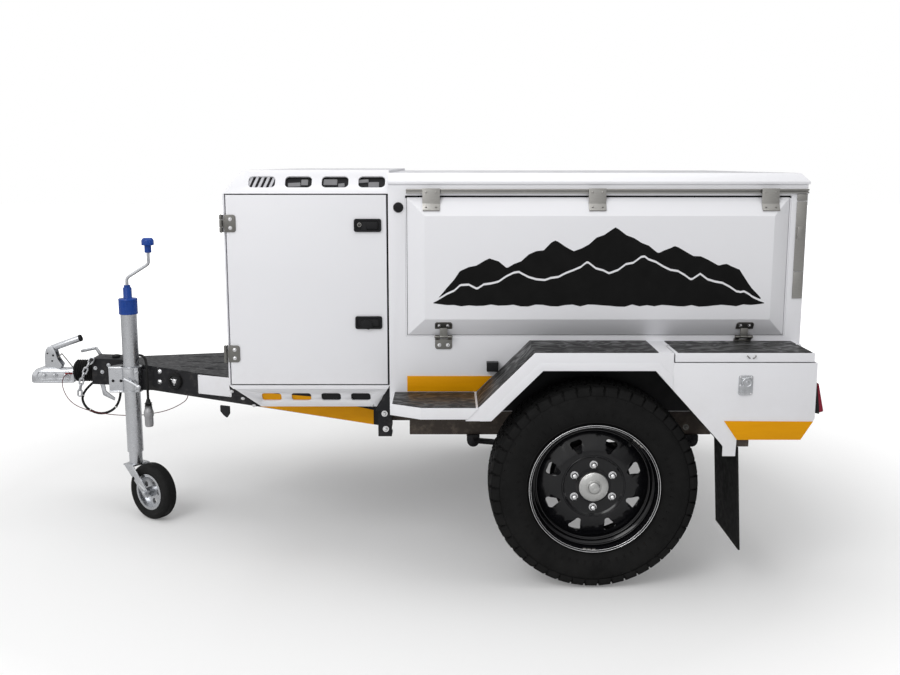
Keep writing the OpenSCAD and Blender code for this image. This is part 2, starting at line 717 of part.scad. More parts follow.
// Clamp that holds the jockey stand: saddle, wings and T-handle
module jockey_clamp() color([0.72, 0.73, 0.75]) {
    difference() {
        block(-stand_x - 81, -stand_x + 34, -stand_y - 40, -stand_y + 36, clamp_z, clamp_z + clamp_h);
        translate([-stand_x, -stand_y, 0]) cylinder(r = stand_r + seat, h = 1000);
        block(-stand_x - 90, -stand_x - 36, -stand_y - 41, -stand_y - 22, clamp_z - 1, clamp_z + 200);
        block(-stand_x - 90, -stand_x - 44, -stand_y - 41, -stand_y + 24, clamp_z + 14, clamp_z + clamp_h - 14);
        draw_rail();
        raked() translate([0, 0, draw_h - seat]) linear_extrude(100) draw_plan(-2, draw_w + 40);
    }
    rod([-stand_x + 10, -stand_y - 38, clamp_z + 46], [-stand_x + 16, -stand_y - 62, clamp_z + 44], 6);
    rod([-stand_x - 10, -stand_y - 62, clamp_z + 58], [-stand_x + 40, -stand_y - 62, clamp_z + 30], 5.5);
}

module jockey_outer_tube() color([0.75, 0.76, 0.78]) translate([-stand_x, -stand_y, stand_bottom]) difference() {
    cylinder(r = stand_r, h = stand_top - stand_bottom);
    translate([0, 0, -1]) cylinder(r = stand_r - stand_wall, h = stand_top - stand_bottom - 20);
}

module jockey_cap() color([0.07, 0.25, 0.62]) translate([-stand_x, -stand_y, stand_top]) rotate_extrude()
    polygon([[0, 0], [35, 0], [35, 50], [31, 58], [15, 62], [13, 66], [13, 106], [10, 110], [0, 110]]);

module jockey_crank() color([0.7, 0.7, 0.72]) translate([-stand_x, -stand_y, stand_top + 110]) {
    cylinder(r = 6, h = 28);
    rod([0, 0, 26], [85, 0, 80], 6);
    translate([0, 0, 26]) sphere(6.8);
    translate([85, 0, 80]) {
        sphere(6.8);
        cylinder(r = 6, h = 44);
        translate([0, 0, 42]) rotate_extrude()
            polygon([[0, 0], [12, 0], [14, 6], [13, 22], [22, 28], [23, 42], [19, 54], [0, 55]]);
    }
}

module jockey_inner_tube() color([0.66, 0.67, 0.69]) translate([-stand_x, -stand_y, fork_z + fork_t])
    difference() {
        cylinder(r = inner_r, h = 440);
        translate([0, 0, 20]) cylinder(r = inner_r - 4, h = 440);
    }

// The fork and its wheel, drawn with the trail along X and the wheel's axle along Y
module swivelled() {
    translate([-stand_x, -stand_y, 0]) rotate([0, 0, jockey_angle]) children();
}

cheek_y = jockey_w / 2 + 6;
module jockey_fork() color([0.72, 0.73, 0.75]) swivelled() {
    translate([0, 0, fork_z]) linear_extrude(fork_t - seat) {
        circle(inner_r + 6);
        translate([-26, -cheek_y - 4]) square([54, 2 * cheek_y + 8]);
    }
    for (y = [-cheek_y - 4, cheek_y]) across(y, y + 4) difference() {
        union() {
            polygon([[-26, fork_z + fork_t - seat], [28, fork_z + fork_t - seat], [jockey_trail + 12, jockey_r + 12],
                [jockey_trail - 8, jockey_r - 14]]);
            translate([jockey_trail, jockey_r]) circle(17);
        }
        translate([30, fork_z - 44]) circle(7);
    }
    across(-cheek_y - 8, cheek_y + 8) translate([jockey_trail, jockey_r]) circle(7);
}

module jockey_at() {
    swivelled() translate([jockey_trail, 0, jockey_r]) rotate([90, 0, 0]) children();
}

module jockey_tyre() color([0.06, 0.06, 0.06]) jockey_at() rotate_extrude() {
    h = jockey_w / 2;
    polygon([[70, -h + 8], [92, -h], [jockey_r - 6, -h + 6], [jockey_r, -h + 16], [jockey_r, h - 16],
        [jockey_r - 6, h - 6], [92, h], [70, h - 8]]);
}

module jockey_rim() color([0.7, 0.71, 0.73]) jockey_at() difference() {
    rotate_extrude() polygon([[7 + seat, -26], [18, -26], [20, -6], [58, -6], [60, -24], [70 - seat, -24],
        [70 - seat, 24], [60, 24], [58, 6], [20, 6], [18, 26], [7 + seat, 26]]);
    for (i = [0:4]) rotate(i * 72) translate([39, 0, 0]) cylinder(r = 11, h = 30, center = true);
}

// Safety chain: welded links, each turned a quarter from the last
link_l = 34;
link_w = 22;
link_r = 3.6;
function link_path() = let (s = link_l / 2 - link_w / 2, r = link_w / 2 - link_r)
    concat([for (a = [-75:30:75]) [s + r * cos(a), r * sin(a), 0]],
        [for (a = [105:30:255]) [-s + r * cos(a), r * sin(a), 0]]);
chain_route = [[-1842, -63, 599], [-1855, -63, 582.5], [-1867, -64, 563], [-1878, -64, 542.5], [-1887, -63, 520.5],
    [-1894, -62, 498], [-1899, -61, 475], [-1902, -60, 452]];
module safety_chain() color([0.72, 0.72, 0.73]) for (i = [0:len(chain_route) - 2]) {
    a = chain_route[i];
    b = chain_route[i + 1];
    d = b - a;
    translate((a + b) / 2) rotate([0, -asin(d.z / norm(d)), atan2(d.y, d.x)])
        rotate([(i + 1) % 2 * 90, 0, 0]) tube(link_path(), link_r, 6, true);
}

// Free cables: their routes are points chosen by hand
breakaway_r = 1.5;
breakaway_route = [[-1938, -30.5, 534], [-1941, -38, 536], [-1954, -47, 534], [-1965, -54, 518], [-1967, -60, 494],
    [-1957, -65, 464], [-1940, -69, 438], [-1912, -73, 416], [-1868, -77, 399], [-1806, -80, 386],
    [-1754, -81, 380], [-1700, -82, 378], [-1650, -88, 382], [-1600, -99, 392], [-1552, -116, 406],
    [-1508, -134, 426], [-1470, -150, 450], [-1456, -157, 468], [-1454, -158, 482.3]];
module breakaway_cable() color([0.35, 0.06, 0.07]) tube(smooth(breakaway_route, 4), breakaway_r, 8);

lead_r = 4.75;
lead_route = [[-1843, 50.6, 504], [-1846, 60, 503], [-1862, 66, 497], [-1880, 60, 486], [-1893, 44, 474],
    [-1900, 22, 464], [-1903, 0, 455], [-1903, -24, 443], [-1897, -42, 426], [-1879, -53, 402],
    [-1848, -58, 386], [-1820, -62, 382], [-1792, -66, 388], [-1768, -70, 402], [-1750, -74, 424],
    [-1739, -77, 452], [-1734, -79, 484], [-1732, -80, 520], [-1728, -80, 556], [-1716, -78, 586],
    [-1692, -76, 606], [-1664, -80, 616], [-1638, -100, 618], [-1618, -130, 610], [-1608, -150, 588],
    [-1605, -160, 560], [-1604, -164, 528], [-1604, -165, 496], [-1604, -165, 462.3]];
module lead_cable() color([0.05, 0.05, 0.05]) tube(smooth(lead_route, 2), lead_r, 8);

module trailer_plug() color([0.6, 0.6, 0.6]) translate([-1604, -165, 462 - 106]) rotate_extrude()
    polygon([[0, 0], [17, 0], [18, 4], [18, 38], [20, 42], [22, 58], [18, 66], [15, 76], [15, 92], [9, 100], [7, 106],
        [0, 106]]);

// Round side markers on the drawbar rails
module side_markers() color([0.1, 0.1, 0.1]) both()
    translate([-1493, -draw_half(-1493), 535]) rotate([90, 0, -draw_angle]) rotate_extrude()
        polygon([[0, seat], [31, seat], [31, 9], [27, 13], [20, 11], [0, 11]]);

// Small fittings on the body's sides: a round cap on the front post and a box in front of the guard
module body_fittings() color([0.1, 0.1, 0.11]) both() {
    translate([-body_front + 33, -body_half, 1207]) rotate([90, 0, 0]) cylinder(r1 = 17, r2 = 14, h = 7);
    block(-336, -298, -body_half - 30, -body_half, 676, 706);
}

// Fixed hinge halves of all doors, each with its leaf on the body
module hinge_leaves() color([0.3, 0.3, 0.29]) {
    both() {
        for (x = side_hinge_x) translate([x - fitting_w / 2, -body_half - hinge_off, side_axis_z]) {
            // Over the locker the leaf is short, because it ends above the lid's strip
            low = x > locker_front ? guard_top + seat - side_axis_z : -44;
            rotate([0, 90, 0]) hinge_fixed(fitting_w);
            difference() {
                along(0, fitting_w) polygon([[0, -2], [-1, -5], [hinge_off - 3, -13], [hinge_off - 3, low],
                    [hinge_off, low], [hinge_off, -9]]);
                block(fitting_w * 0.27, fitting_w * 0.73, -8, 9, -20, 20);
            }
        }
        for (z = nose_hinge_z) translate([nose_axis_x, nose_axis_y, z - fitting_w / 2]) {
            hinge_fixed(fitting_w);
            difference() {
                block(3, 6, 0, 46, 0, fitting_w);
                block(0, 7, -1, 8, fitting_w * 0.27, fitting_w * 0.73);
            }
        }
    }
    for (z = rear_hinge_z) translate([rear_axis_x, rear_axis_y, z - fitting_w / 2]) {
        hinge_fixed(fitting_w);
        difference() {
            block(-7, -4, 0, 44, 0, fitting_w);
            block(-8, 0, -8, 8, fitting_w * 0.27, fitting_w * 0.73);
        }
    }
}

// Wheels, drawn with the outboard side up
module wheel_at(side) {
    on_side(side) translate([0, -track_half, tyre_r]) rotate([90, 0, 0]) children();
}

module tyre(side) color([0.07, 0.07, 0.07]) wheel_at(side) rotate_extrude($fn = 72) {
    h = tyre_w / 2;
    depth = tyre_r - rim_r;
    // Half section: distance in from the tread as a share of the depth, and half width as a share
    half = [[0, 0.6], [0.02, 0.74], [0.09, 0.87], [0.22, 0.94], [0.45, 1], [0.62, 0.99], [0.82, 0.93], [1.0, 0.86],
        [1.04, 0.84]];
    outer = [for (p = half) [tyre_r - p[0] * depth, p[1] * h]];
    inner = [for (i = [len(half) - 1:-1:0]) [min(outer[i].x, tyre_r - 14), outer[i].y - 12]];
    polygon(concat(outer, inner, [for (p = half) [min(tyre_r - p[0] * depth, tyre_r - 14), 12 - p[1] * h]],
        [for (i = [len(half) - 1:-1:0]) [outer[i].x, -outer[i].y]]));
}

disc_z = tyre_w / 2 - 42;
module rim(side) color([0.05, 0.05, 0.055]) wheel_at(side) {
    h = tyre_w / 2;
    in_r = rim_r - 0.04 * (tyre_r - rim_r) - 4 - seat;
    rotate_extrude($fn = 72) polygon([[rim_r, h - 8], [rim_r, h - 4], [rim_r - 6, h - 2], [in_r, h - 18],
        [in_r - 2, h - 50], [in_r - 22, h - 62], [in_r - 22, -20], [in_r - 4, -40], [in_r, 2 - h], [rim_r - 4, 4 - h],
        [rim_r - 4, 10 - h], [in_r + 4, 14 - h], [in_r, -34], [in_r - 18, -18], [in_r - 18, h - 64],
        [in_r + 3, h - 54], [in_r + 4, h - 14], [rim_r - 3, h - 10]]);
    difference() {
        rotate_extrude($fn = 72) polygon([[56, disc_z - 6], [92, disc_z - 6], [104, disc_z + 2], [120, disc_z + 2],
            [in_r - 22, disc_z - 22], [in_r - 21.5, disc_z - 16], [122, disc_z + 8], [102, disc_z + 8],
            [92, disc_z], [56, disc_z]]);
        for (i = [0:window_count - 1]) rotate((i + 0.5) * 360 / window_count) translate([136, 0, disc_z - 40])
            linear_extrude(80) {
                translate([-13, 0]) circle(9);
                for (y = [-1, 1]) translate([12, y * 11]) circle(9);
                polygon([[-13, -9], [12, -20], [21, -11], [21, 11], [12, 20], [-13, 9]]);
            }
    }
}

// Hub: brake drum, flange face, wheel nuts and the polished cap
module hub(side) color([0.5, 0.5, 0.5]) wheel_at(side) {
    difference() {
        translate([0, 0, -hub_in]) cylinder(r = back_plate_r - 6, h = disc_z - 6 + hub_in - seat);
        translate([0, 0, -hub_in - 1]) cylinder(r = stub_r + seat, h = hub_in + bearing + 3);
        translate([0, 0, -hub_in - 1]) difference() {
            cylinder(r = back_plate_r - 12, h = 30);
            cylinder(r = 40, h = 30);
        }
    }
    translate([0, 0, bearing + 6]) cylinder(r = 56 - seat, h = disc_z - bearing - 6);
    translate([0, 0, disc_z]) rotate_extrude()
        polygon([[0, 0], [47, 0], [47, 16], [43, 20], [22, 22], [19, 22], [19, 30], [15, 33], [0, 33]]);
    for (i = [0:5]) rotate(i * 60 + 30) translate([stud_pcd / 2, 0, disc_z + seat]) {
        cylinder(r = 12, h = 10, $fn = 6);
        translate([0, 0, 10]) sphere(9.6);
    }
}

// Nose door: a flat panel hinged at its front edge
module nose_door(side) color([0.92, 0.92, 0.93]) on_side(side)
    block(-nose_front + 9, -body_front - door_gap, -body_half, -body_half + wall, nose_sill + 4, nose_top - 4);

module nose_fittings(side) color([0.08, 0.08, 0.08]) on_side(side) {
    for (z = nose_latch_z) translate([-body_front - 66, -body_half, z]) {
        across(-6, 0) rounded(88, 42, 7);
        across(-9, -6) translate([6, 0]) rounded(58, 28, 5);
    }
    for (z = nose_hinge_z) translate([nose_axis_x, nose_axis_y, z - fitting_w / 2]) {
        hinge_moving(fitting_w);
        difference() {
            block(2, 46, 3, 6, 0, fitting_w);
            for (e = [0, fitting_w * 0.73]) block(-1, 8, 0, 7, e - 1, e + fitting_w * 0.27 + 1);
            translate([0, 0, -1]) cylinder(r = pin_r + seat, h = fitting_w + 2);
        }
    }
}

// Side door: a pressed panel with a raised, bevelled field, hinged at its lower edge
module field_form(inset) {
    y0 = -body_half;
    y1 = -body_half - door_raise;
    intersection() {
        along(door_x0, door_x1) polygon([[y0, door_sill + inset], [y0, door_top - inset],
            [y1 + inset, door_top - door_bevel - inset], [y1 + inset, door_sill + door_bevel + inset]]);
        translate([0, 0, door_sill]) linear_extrude(door_height) polygon([[door_x0 + inset, y0],
            [door_x1 - inset, y0], [door_x1 - door_bevel - inset, y1 + inset], [door_x0 + door_bevel + inset, y1 + inset]]);
    }
}

module side_door(side) color([0.9, 0.9, 0.91]) on_side(side) difference() {
    union() {
        field_form(0);
        block(door_x0, door_x1, -body_half, -body_half + wall - 2, door_sill, door_top);
    }
    translate([0, 0.01, 0]) field_form(wall - 4);
    block(door_x0 + wall, door_x1 - wall, -body_half - 0.01, -body_half + wall, door_sill + wall, door_top - wall);
}

// Clips hook past the awning rail, and the moving hinge halves lie on the bevel
module side_fittings(side) color([0.55, 0.55, 0.54]) on_side(side) {
    for (x = clip_x) along(x - fitting_w / 2, x + fitting_w / 2) {
        y = -body_half - rail_d - 5;
        foot = door_top - (rail_d + 5) * door_bevel / door_raise;
        polygon([[y - 3, rail_z + rail_h + 2], [y, rail_z + rail_h + 2], [y, foot + seat],
            [y - 12, foot + seat - 12 * door_bevel / door_raise], [y - 15, foot + 1 - 12 * door_bevel / door_raise],
            [y - 3, foot + 2]]);
    }
    for (x = side_hinge_x) translate([x - fitting_w / 2, -body_half - hinge_off, side_axis_z]) {
        rotate([0, 90, 0]) hinge_moving(fitting_w);
        difference() {
            along(0, fitting_w) polygon([[-5, 2], [5, 3], [3 - seat, 27], [3 - seat - 12, 44], [-16, 44], [-2, 24]]);
            for (e = [0, fitting_w * 0.73]) block(e - 1, e + fitting_w * 0.27 + 1, -30, 30, -9, 9);
            rotate([0, 90, 0]) cylinder(r = pin_r + seat, h = fitting_w);
        }
    }
}

// Locker lid: a folded pan that swings up about its inner edge
module locker_lid(side) color([0.93, 0.93, 0.94]) on_side(side) difference() {
    union() {
        block(locker_front + 4, locker_rear - 10, -guard_out, -lid_hinge - 4, guard_top - lid_h, guard_top);
        lid_knuckles([[15, 20]], 1);
    }
    for (x = lid_hinge_x)
        rod([x, -lid_hinge, lid_axis_z], [x + 50, -lid_hinge, lid_axis_z], lid_pin_r + seat);
    block(locker_front + 8, locker_rear - 14, -guard_out + 4, -lid_hinge - 8, guard_top - lid_h - 1, guard_top - 4);
}

// Rear door: a flat pressed panel hinged on the right
module rear_door() color([0.92, 0.92, 0.93]) block(body_rear - wall, body_rear, -rear_half, rear_half, rear_z0, rear_z1);

module rear_door_fittings() color([0.3, 0.3, 0.3]) {
    for (z = rear_hinge_z) translate([rear_axis_x, rear_axis_y, z - fitting_w / 2]) {
        hinge_moving(fitting_w);
        difference() {
            block(-7, -4, -46, -2, 0, fitting_w);
            for (e = [0, fitting_w * 0.73]) block(-8, 0, -8, 0, e - 1, e + fitting_w * 0.27 + 1);
            translate([0, 0, -1]) cylinder(r = pin_r + seat, h = fitting_w + 2);
        }
    }
    for (z = [800, 1050]) translate([body_rear, -rear_half + 70, z]) {
        along(0, 6) rounded(88, 42, 7);
        along(6, 10) rounded(58, 28, 5);
    }
}

// Every piece is drawn from the axle and placed in the part's frame
module placed() {
    translate([axle_x, 0, 0]) children();
}

placed() chassis_frame();
placed() drawbar();
placed() drawbar_deck();
placed() frame_brackets();
placed() body_shell();
placed() roof_pan();
placed() nose_shell();
placed() nose_vents();
placed() awning_rails();
placed() corner_strips();
placed() mudguards();
placed() tread_plates();
placed() step_boards();
placed() lockers();
placed() locker_latches();
placed() mudflaps();
placed() axle_beam();
placed() leaf_springs();
placed() spring_hangers();
placed() lamp_housings();
placed() lamp_lenses();
placed() colour_bands();
placed() coupler_body();
placed() coupler_handle();
placed() handbrake_lever();
placed() shaft_bellows();
placed() jockey_clamp();
placed() safety_chain();
placed() breakaway_cable();
placed() lead_cable();
placed() trailer_plug();
placed() side_markers();
placed() body_fittings();
placed() hinge_leaves();
placed() tyre(LEFT);  // tyre_left
placed() rim(LEFT);  // rim_left
placed() hub(LEFT);  // hub_left
placed() tyre(RIGHT);  // tyre_right
placed() rim(RIGHT);  // rim_right
placed() hub(RIGHT);  // hub_right
placed() jockey_outer_tube();
placed() jockey_cap();
placed() jockey_crank();
placed() jockey_inner_tube();
placed() jockey_fork();
placed() jockey_tyre();
placed() jockey_rim();
placed() nose_door(LEFT);  // nose_door_left
placed() nose_fittings(LEFT);  // nose_fittings_left
placed() nose_door(RIGHT);  // nose_door_right
placed() nose_fittings(RIGHT);  // nose_fittings_right
placed() side_door(LEFT);  // side_door_left
placed() side_fittings(LEFT);  // side_fittings_left
placed() side_door(RIGHT);  // side_door_right
placed() side_fittings(RIGHT);  // side_fittings_right
placed() locker_lid(LEFT);  // locker_lid_left
placed() locker_lid(RIGHT);  // locker_lid_right
placed() rear_door();
placed() rear_door_fittings();
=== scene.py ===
"""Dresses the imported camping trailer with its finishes, fittings, wheels and cables, in a plain studio.

Lengths are millimetres from the axle's centre line, as in the part's source: X to the rear, Y to the right
and Z up from the ground.
"""

import json
import math
import random

import bmesh
import bpy
from mathutils import Matrix, Vector


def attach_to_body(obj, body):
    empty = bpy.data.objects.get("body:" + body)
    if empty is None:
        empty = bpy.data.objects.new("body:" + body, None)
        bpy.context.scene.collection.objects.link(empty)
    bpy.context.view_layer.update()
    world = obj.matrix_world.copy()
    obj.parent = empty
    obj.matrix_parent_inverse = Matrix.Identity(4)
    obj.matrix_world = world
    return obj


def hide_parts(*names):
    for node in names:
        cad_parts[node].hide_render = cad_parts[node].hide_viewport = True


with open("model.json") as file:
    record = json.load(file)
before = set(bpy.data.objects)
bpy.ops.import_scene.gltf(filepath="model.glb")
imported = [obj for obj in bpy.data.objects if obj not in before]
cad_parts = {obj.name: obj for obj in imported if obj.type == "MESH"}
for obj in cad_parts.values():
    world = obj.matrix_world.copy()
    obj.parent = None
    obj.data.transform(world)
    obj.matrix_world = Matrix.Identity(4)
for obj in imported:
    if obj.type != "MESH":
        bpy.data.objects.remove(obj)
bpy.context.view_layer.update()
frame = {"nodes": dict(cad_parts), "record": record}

MM = 0.001
AXLE = 0.7005
TO_ROW = Matrix.Translation((AXLE, 0, 0)) @ Matrix.Scale(MM, 4)
LEFT, RIGHT = -1, 1
SIDES = {"left": LEFT, "right": RIGHT}
NODE_BODY = {n: body for body, nodes in frame["record"]["behaviour"]["bodies"].items() for n in nodes}
ROOT = NODE_BODY["body_shell"]

# Stations that the part's source also has
BODY_HALF, BODY_FRONT, BODY_REAR = 665, 655, 690
NOSE_FRONT, NOSE_SILL, NOSE_TOP, CAP_TOP = 1185, 624, 1251, 1325
VALANCE_Z, VALANCE_INSET, VALANCE_FRONT, VALANCE_REAR = 541, 50, 96, 47
VALANCE_H, CAP_H = NOSE_SILL - VALANCE_Z, CAP_TOP - NOSE_TOP
DOOR_X0, DOOR_X1, DOOR_Z0, DOOR_Z1 = -594, 632, 793, 1239
DOOR_BEVEL, DOOR_RAISE, DOOR_GAP = 57, 40, 6
FITTING_W, HINGE_OFF, KNUCKLE_R = 56, 20, 5.5
CLIP_X, SIDE_HINGE_X = (-516, 14, 566), (-477, 500)
NOSE_HINGE_Z, NOSE_LATCH_Z = (730, 1156), (834, 1150)
REAR_HINGE_Z, REAR_HALF, REAR_Z0, REAR_Z1 = (730, 1116), 560, 610, 1236
RAIL_Z, RAIL_H, RAIL_D = 1252, 14, 10
GUARD_OUT, GUARD_TOP, GUARD_KNEE, LOCKER_FRONT, LOCKER_REAR = 885, 772, -194, 232, 674
TYRE_R, TYRE_W, TRACK, RIM_R = 334, 195, 777, 208
DISC_Z, STUD_R = TYRE_W / 2 - 42, 69.85
DRAW_ANGLE, DRAW_ROOT = math.radians(24.3), 550
STAND = Vector((-1672, -132, 0))
STAND_TOP, STAND_R = 785, 30
BALL_X, COUPLER_Z, SHAFT_Z = -2071, 503, 541
JOCKEY_R, JOCKEY_TRAIL = 108, 95
JOCKEY_TURN = math.radians(-35)


def draw_half(x):
    """Half width over the drawbar's rails at a station."""
    return DRAW_ROOT + (x + BODY_FRONT) * math.tan(DRAW_ANGLE)


# Camera


def camera():
    """Lens and place fitted to the photograph, in metres in the row frame."""
    data = bpy.data.cameras.new("camera")
    data.lens = 41.32
    eye = bpy.data.objects.new("camera", data)
    eye.location = (0.2445, -4.0, 1.346)
    eye.rotation_euler = (math.radians(80.44), 0, 0)
    bpy.context.scene.collection.objects.link(eye)
    bpy.context.scene.camera = eye


# Finishes


class Finish:
    """A material on Object coordinates, with short calls for the nodes that these finishes share."""

    def __init__(self, name, colour, rough, metal=0.0, specular=0.5, coat=0.0):
        self.mat = bpy.data.materials.new(name)
        self.mat.use_nodes = True
        self.nodes, self.links = self.mat.node_tree.nodes, self.mat.node_tree.links
        self.shader = self.nodes["Principled BSDF"]
        self.mat.diffuse_color = (*colour, 1)
        for socket, value in (("Base Color", (*colour, 1)), ("Roughness", rough), ("Metallic", metal),
                              ("Specular IOR Level", specular), ("Coat Weight", coat)):
            self.shader.inputs[socket].default_value = value
        self.coords = self.nodes.new("ShaderNodeTexCoord").outputs["Object"]

    def feed(self, socket, value):
        if hasattr(value, "links"):
            self.links.new(value, socket)
        else:
            socket.default_value = value

    def mapped(self, stretch=(1, 1, 1), place=(0, 0, 0)):
        node = self.nodes.new("ShaderNodeMapping")
        node.inputs["Scale"].default_value = stretch
        node.inputs["Location"].default_value = place
        self.links.new(self.coords, node.inputs["Vector"])
        return node.outputs["Vector"]

    def noise(self, scale, detail=3.0, rough=0.5, stretch=(1, 1, 1), distort=0.0):
        node = self.nodes.new("ShaderNodeTexNoise")
        self.links.new(self.mapped(stretch), node.inputs["Vector"])
        values = (("Scale", scale), ("Detail", detail), ("Roughness", rough), ("Distortion", distort))
        for socket, value in values:
            node.inputs[socket].default_value = value
        return node.outputs["Fac"]

    def cells(self, scale):
        node = self.nodes.new("ShaderNodeTexVoronoi")
        self.links.new(self.mapped(), node.inputs["Vector"])
        node.inputs["Scale"].default_value = scale
        return node.outputs["Distance"]

    def spread(self, value, low, high, to_low, to_high):
        node = self.nodes.new("ShaderNodeMapRange")
        self.links.new(value, node.inputs["Value"])
        values = (("From Min", low), ("From Max", high), ("To Min", to_low), ("To Max", to_high))
        for socket, number in values:
            node.inputs[socket].default_value = number
        return node.outputs["Result"]

    def mix(self, factor, first, second):
        node = self.nodes.new("ShaderNodeMix")
        node.data_type = "RGBA"
        self.links.new(factor, node.inputs["Factor"])
        for socket, value in ((node.inputs[6], first), (node.inputs[7], second)):
            self.feed(socket, (*value, 1) if isinstance(value, tuple) else value)
        return node.outputs[2]

    def height_above(self, low, high):
        """From 1 at the lower height, in metres, to 0 at the upper."""
        node = self.nodes.new("ShaderNodeSeparateXYZ")
        self.links.new(self.coords, node.inputs[0])
        return self.spread(node.outputs["Z"], low, high, 1.0, 0.0)

    def times(self, first, second):
        node = self.nodes.new("ShaderNodeMath")
        node.operation = "MULTIPLY"
        self.feed(node.inputs[0], first)
        self.feed(node.inputs[1], second)
        return node.outputs[0]

    def bump(self, height, strength, distance):
        node = self.nodes.new("ShaderNodeBump")
        node.inputs["Strength"].default_value = strength
        node.inputs["Distance"].default_value = distance
        self.links.new(height, node.inputs["Height"])
        last = self.shader.inputs["Normal"]
        if last.is_linked:
            self.links.new(last.links[0].from_socket, node.inputs["Normal"])
        self.links.new(node.outputs["Normal"], last)

    def colour(self, value):
        self.feed(self.shader.inputs["Base Color"], value)

    def rough(self, value):
        self.feed(self.shader.inputs["Roughness"], value)


def dusty(finish, base, dust, low, high, amount):
    """Road dust that gathers towards the ground, broken up by noise."""
    cloud = finish.spread(finish.noise(9, 5, 0.65), 0.35, 0.75, 0.0, amount)
    finish.colour(finish.mix(finish.times(cloud, finish.height_above(low, high)), base, dust))


def white_paint():
    f = Finish("white_paint", (0.80, 0.80, 0.83), 0.34, coat=0.2)
    cloud = f.mix(f.noise(1.6, 3), (0.785, 0.787, 0.82), (0.815, 0.815, 0.84))
    dusty(f, cloud, (0.50, 0.46, 0.42), 0.42, 0.75, 0.28)
    f.rough(f.spread(f.noise(14, 4), 0.3, 0.7, 0.28, 0.42))
    f.bump(f.noise(420, 2), 0.05, 0.0003)
    return f.mat


def frame_paint(name, colour, worn):
    f = Finish(name, colour, 0.5, specular=0.16)
    patch = f.spread(f.noise(26, 6, 0.7), 0.5, 0.72, 0.0, 0.75)
    f.colour(f.mix(patch, colour, worn))
    f.rough(f.spread(f.noise(40, 4), 0.3, 0.7, 0.38, 0.66))
    f.bump(f.noise(240, 4), 0.25, 0.0006)
    return f.mat


def deck_plate():
    f = Finish("deck_plate", (0.06, 0.06, 0.062), 0.5, specular=0.2)
    scratch = f.spread(f.noise(30, 8, 0.75, stretch=(1, 6, 1)), 0.52, 0.68, 0.0, 1.0)
    f.colour(f.mix(scratch, (0.022, 0.022, 0.024), (0.13, 0.13, 0.13)))
    f.rough(f.spread(f.noise(60, 5), 0.3, 0.7, 0.35, 0.7))
    f.bump(f.noise(55, 6, 0.7), 0.6, 0.002)
    return f.mat


def grip_sheet(name, colour, streak):
    """Black non-slip covering with a lifted, wavy pattern, whose crests are painted lighter as a painted
    highlight.
    """
    f = Finish(name, colour, 0.42, specular=0.3)
    wave = f.noise(17, 2, 0.35, stretch=(1, 1.5, 1), distort=1.8)
    # The crests take the lighter streak colour: a painted highlight of the rippled reflections.
    f.colour(f.mix(f.spread(wave, 0.5, 0.66, 0.0, 1.0), colour, streak))
    f.rough(f.spread(wave, 0.35, 0.65, 0.6, 0.3))
    f.bump(wave, 0.9, 0.006)
    f.bump(f.cells(420), 0.3, 0.0008)
    return f.mat


def orange_band():
    f = Finish("orange_band", (0.80, 0.345, 0.002), 0.42, specular=0.12)
    streak = f.noise(26, 4, 0.6, stretch=(0.35, 1, 3))
    f.colour(f.mix(streak, (0.80, 0.36, 0.001), (0.68, 0.28, 0.001)))
    f.bump(f.cells(520), 0.12, 0.0004)
    return f.mat


def stainless(name="stainless", low=(0.24, 0.235, 0.225), high=(0.42, 0.41, 0.39)):
    f = Finish(name, low, 0.36, metal=1.0)
    grain = f.noise(90, 4, 0.6, stretch=(1, 1, 14))
    f.colour(f.mix(grain, low, high))
    f.rough(f.spread(grain, 0.3, 0.7, 0.28, 0.46))
    f.bump(grain, 0.06, 0.0003)
    return f.mat


def zinc_plate():
    """Grey plating with soft clouds and fine marks of wear."""
    f = Finish("zinc_plate", (0.66, 0.67, 0.69), 0.25, metal=1.0)
    f.colour(f.mix(f.noise(16, 5, 0.6), (0.44, 0.45, 0.47), (0.58, 0.59, 0.61)))
    f.rough(f.spread(f.noise(38, 6, 0.7), 0.3, 0.7, 0.22, 0.34))
    f.bump(f.noise(60, 5), 0.03, 0.0006)
    return f.mat


def plug_shell():
    """Moulded plug: silver-grey shell that darkens towards its gland."""
    f = Finish("plug_shell", (0.3, 0.3, 0.31), 0.35, metal=0.5)
    f.colour(f.mix(f.height_above(0.424, 0.44), (0.012, 0.012, 0.012), (0.34, 0.34, 0.35)))
    return f.mat


def bright_metal():
    f = Finish("bright_metal", (0.72, 0.72, 0.73), 0.2, metal=1.0)
    f.rough(f.spread(f.noise(130, 3), 0.3, 0.7, 0.14, 0.34))
    f.bump(f.noise(300, 2), 0.05, 0.0003)
    return f.mat


def turned_metal():
    """Polished face with the fine rings that a lathe leaves."""
    f = Finish("turned_metal", (0.5, 0.5, 0.49), 0.26, metal=1.0)
    node = f.nodes.new("ShaderNodeTexWave")
    node.wave_type = "RINGS"
    node.rings_direction = "Y"
    node.inputs["Scale"].default_value = 420
    node.inputs["Distortion"].default_value = 0.6
    f.links.new(f.mapped(place=(-AXLE, 0, -TYRE_R * MM)), node.inputs["Vector"])
    f.rough(f.spread(node.outputs["Fac"], 0.0, 1.0, 0.18, 0.34))
    f.bump(node.outputs["Fac"], 0.35, 0.0004)
    return f.mat


def moulded(name, colour, rough=0.5, specular=0.12):
    f = Finish(name, colour, rough, specular=specular)
    f.colour(f.mix(f.noise(22, 4), colour, tuple(min(1, 1.6 * c + 0.004) for c in colour)))
    f.rough(f.spread(f.noise(50, 4), 0.3, 0.7, rough - 0.1, rough + 0.12))
    f.bump(f.noise(700, 2), 0.15, 0.0004)
    return f.mat


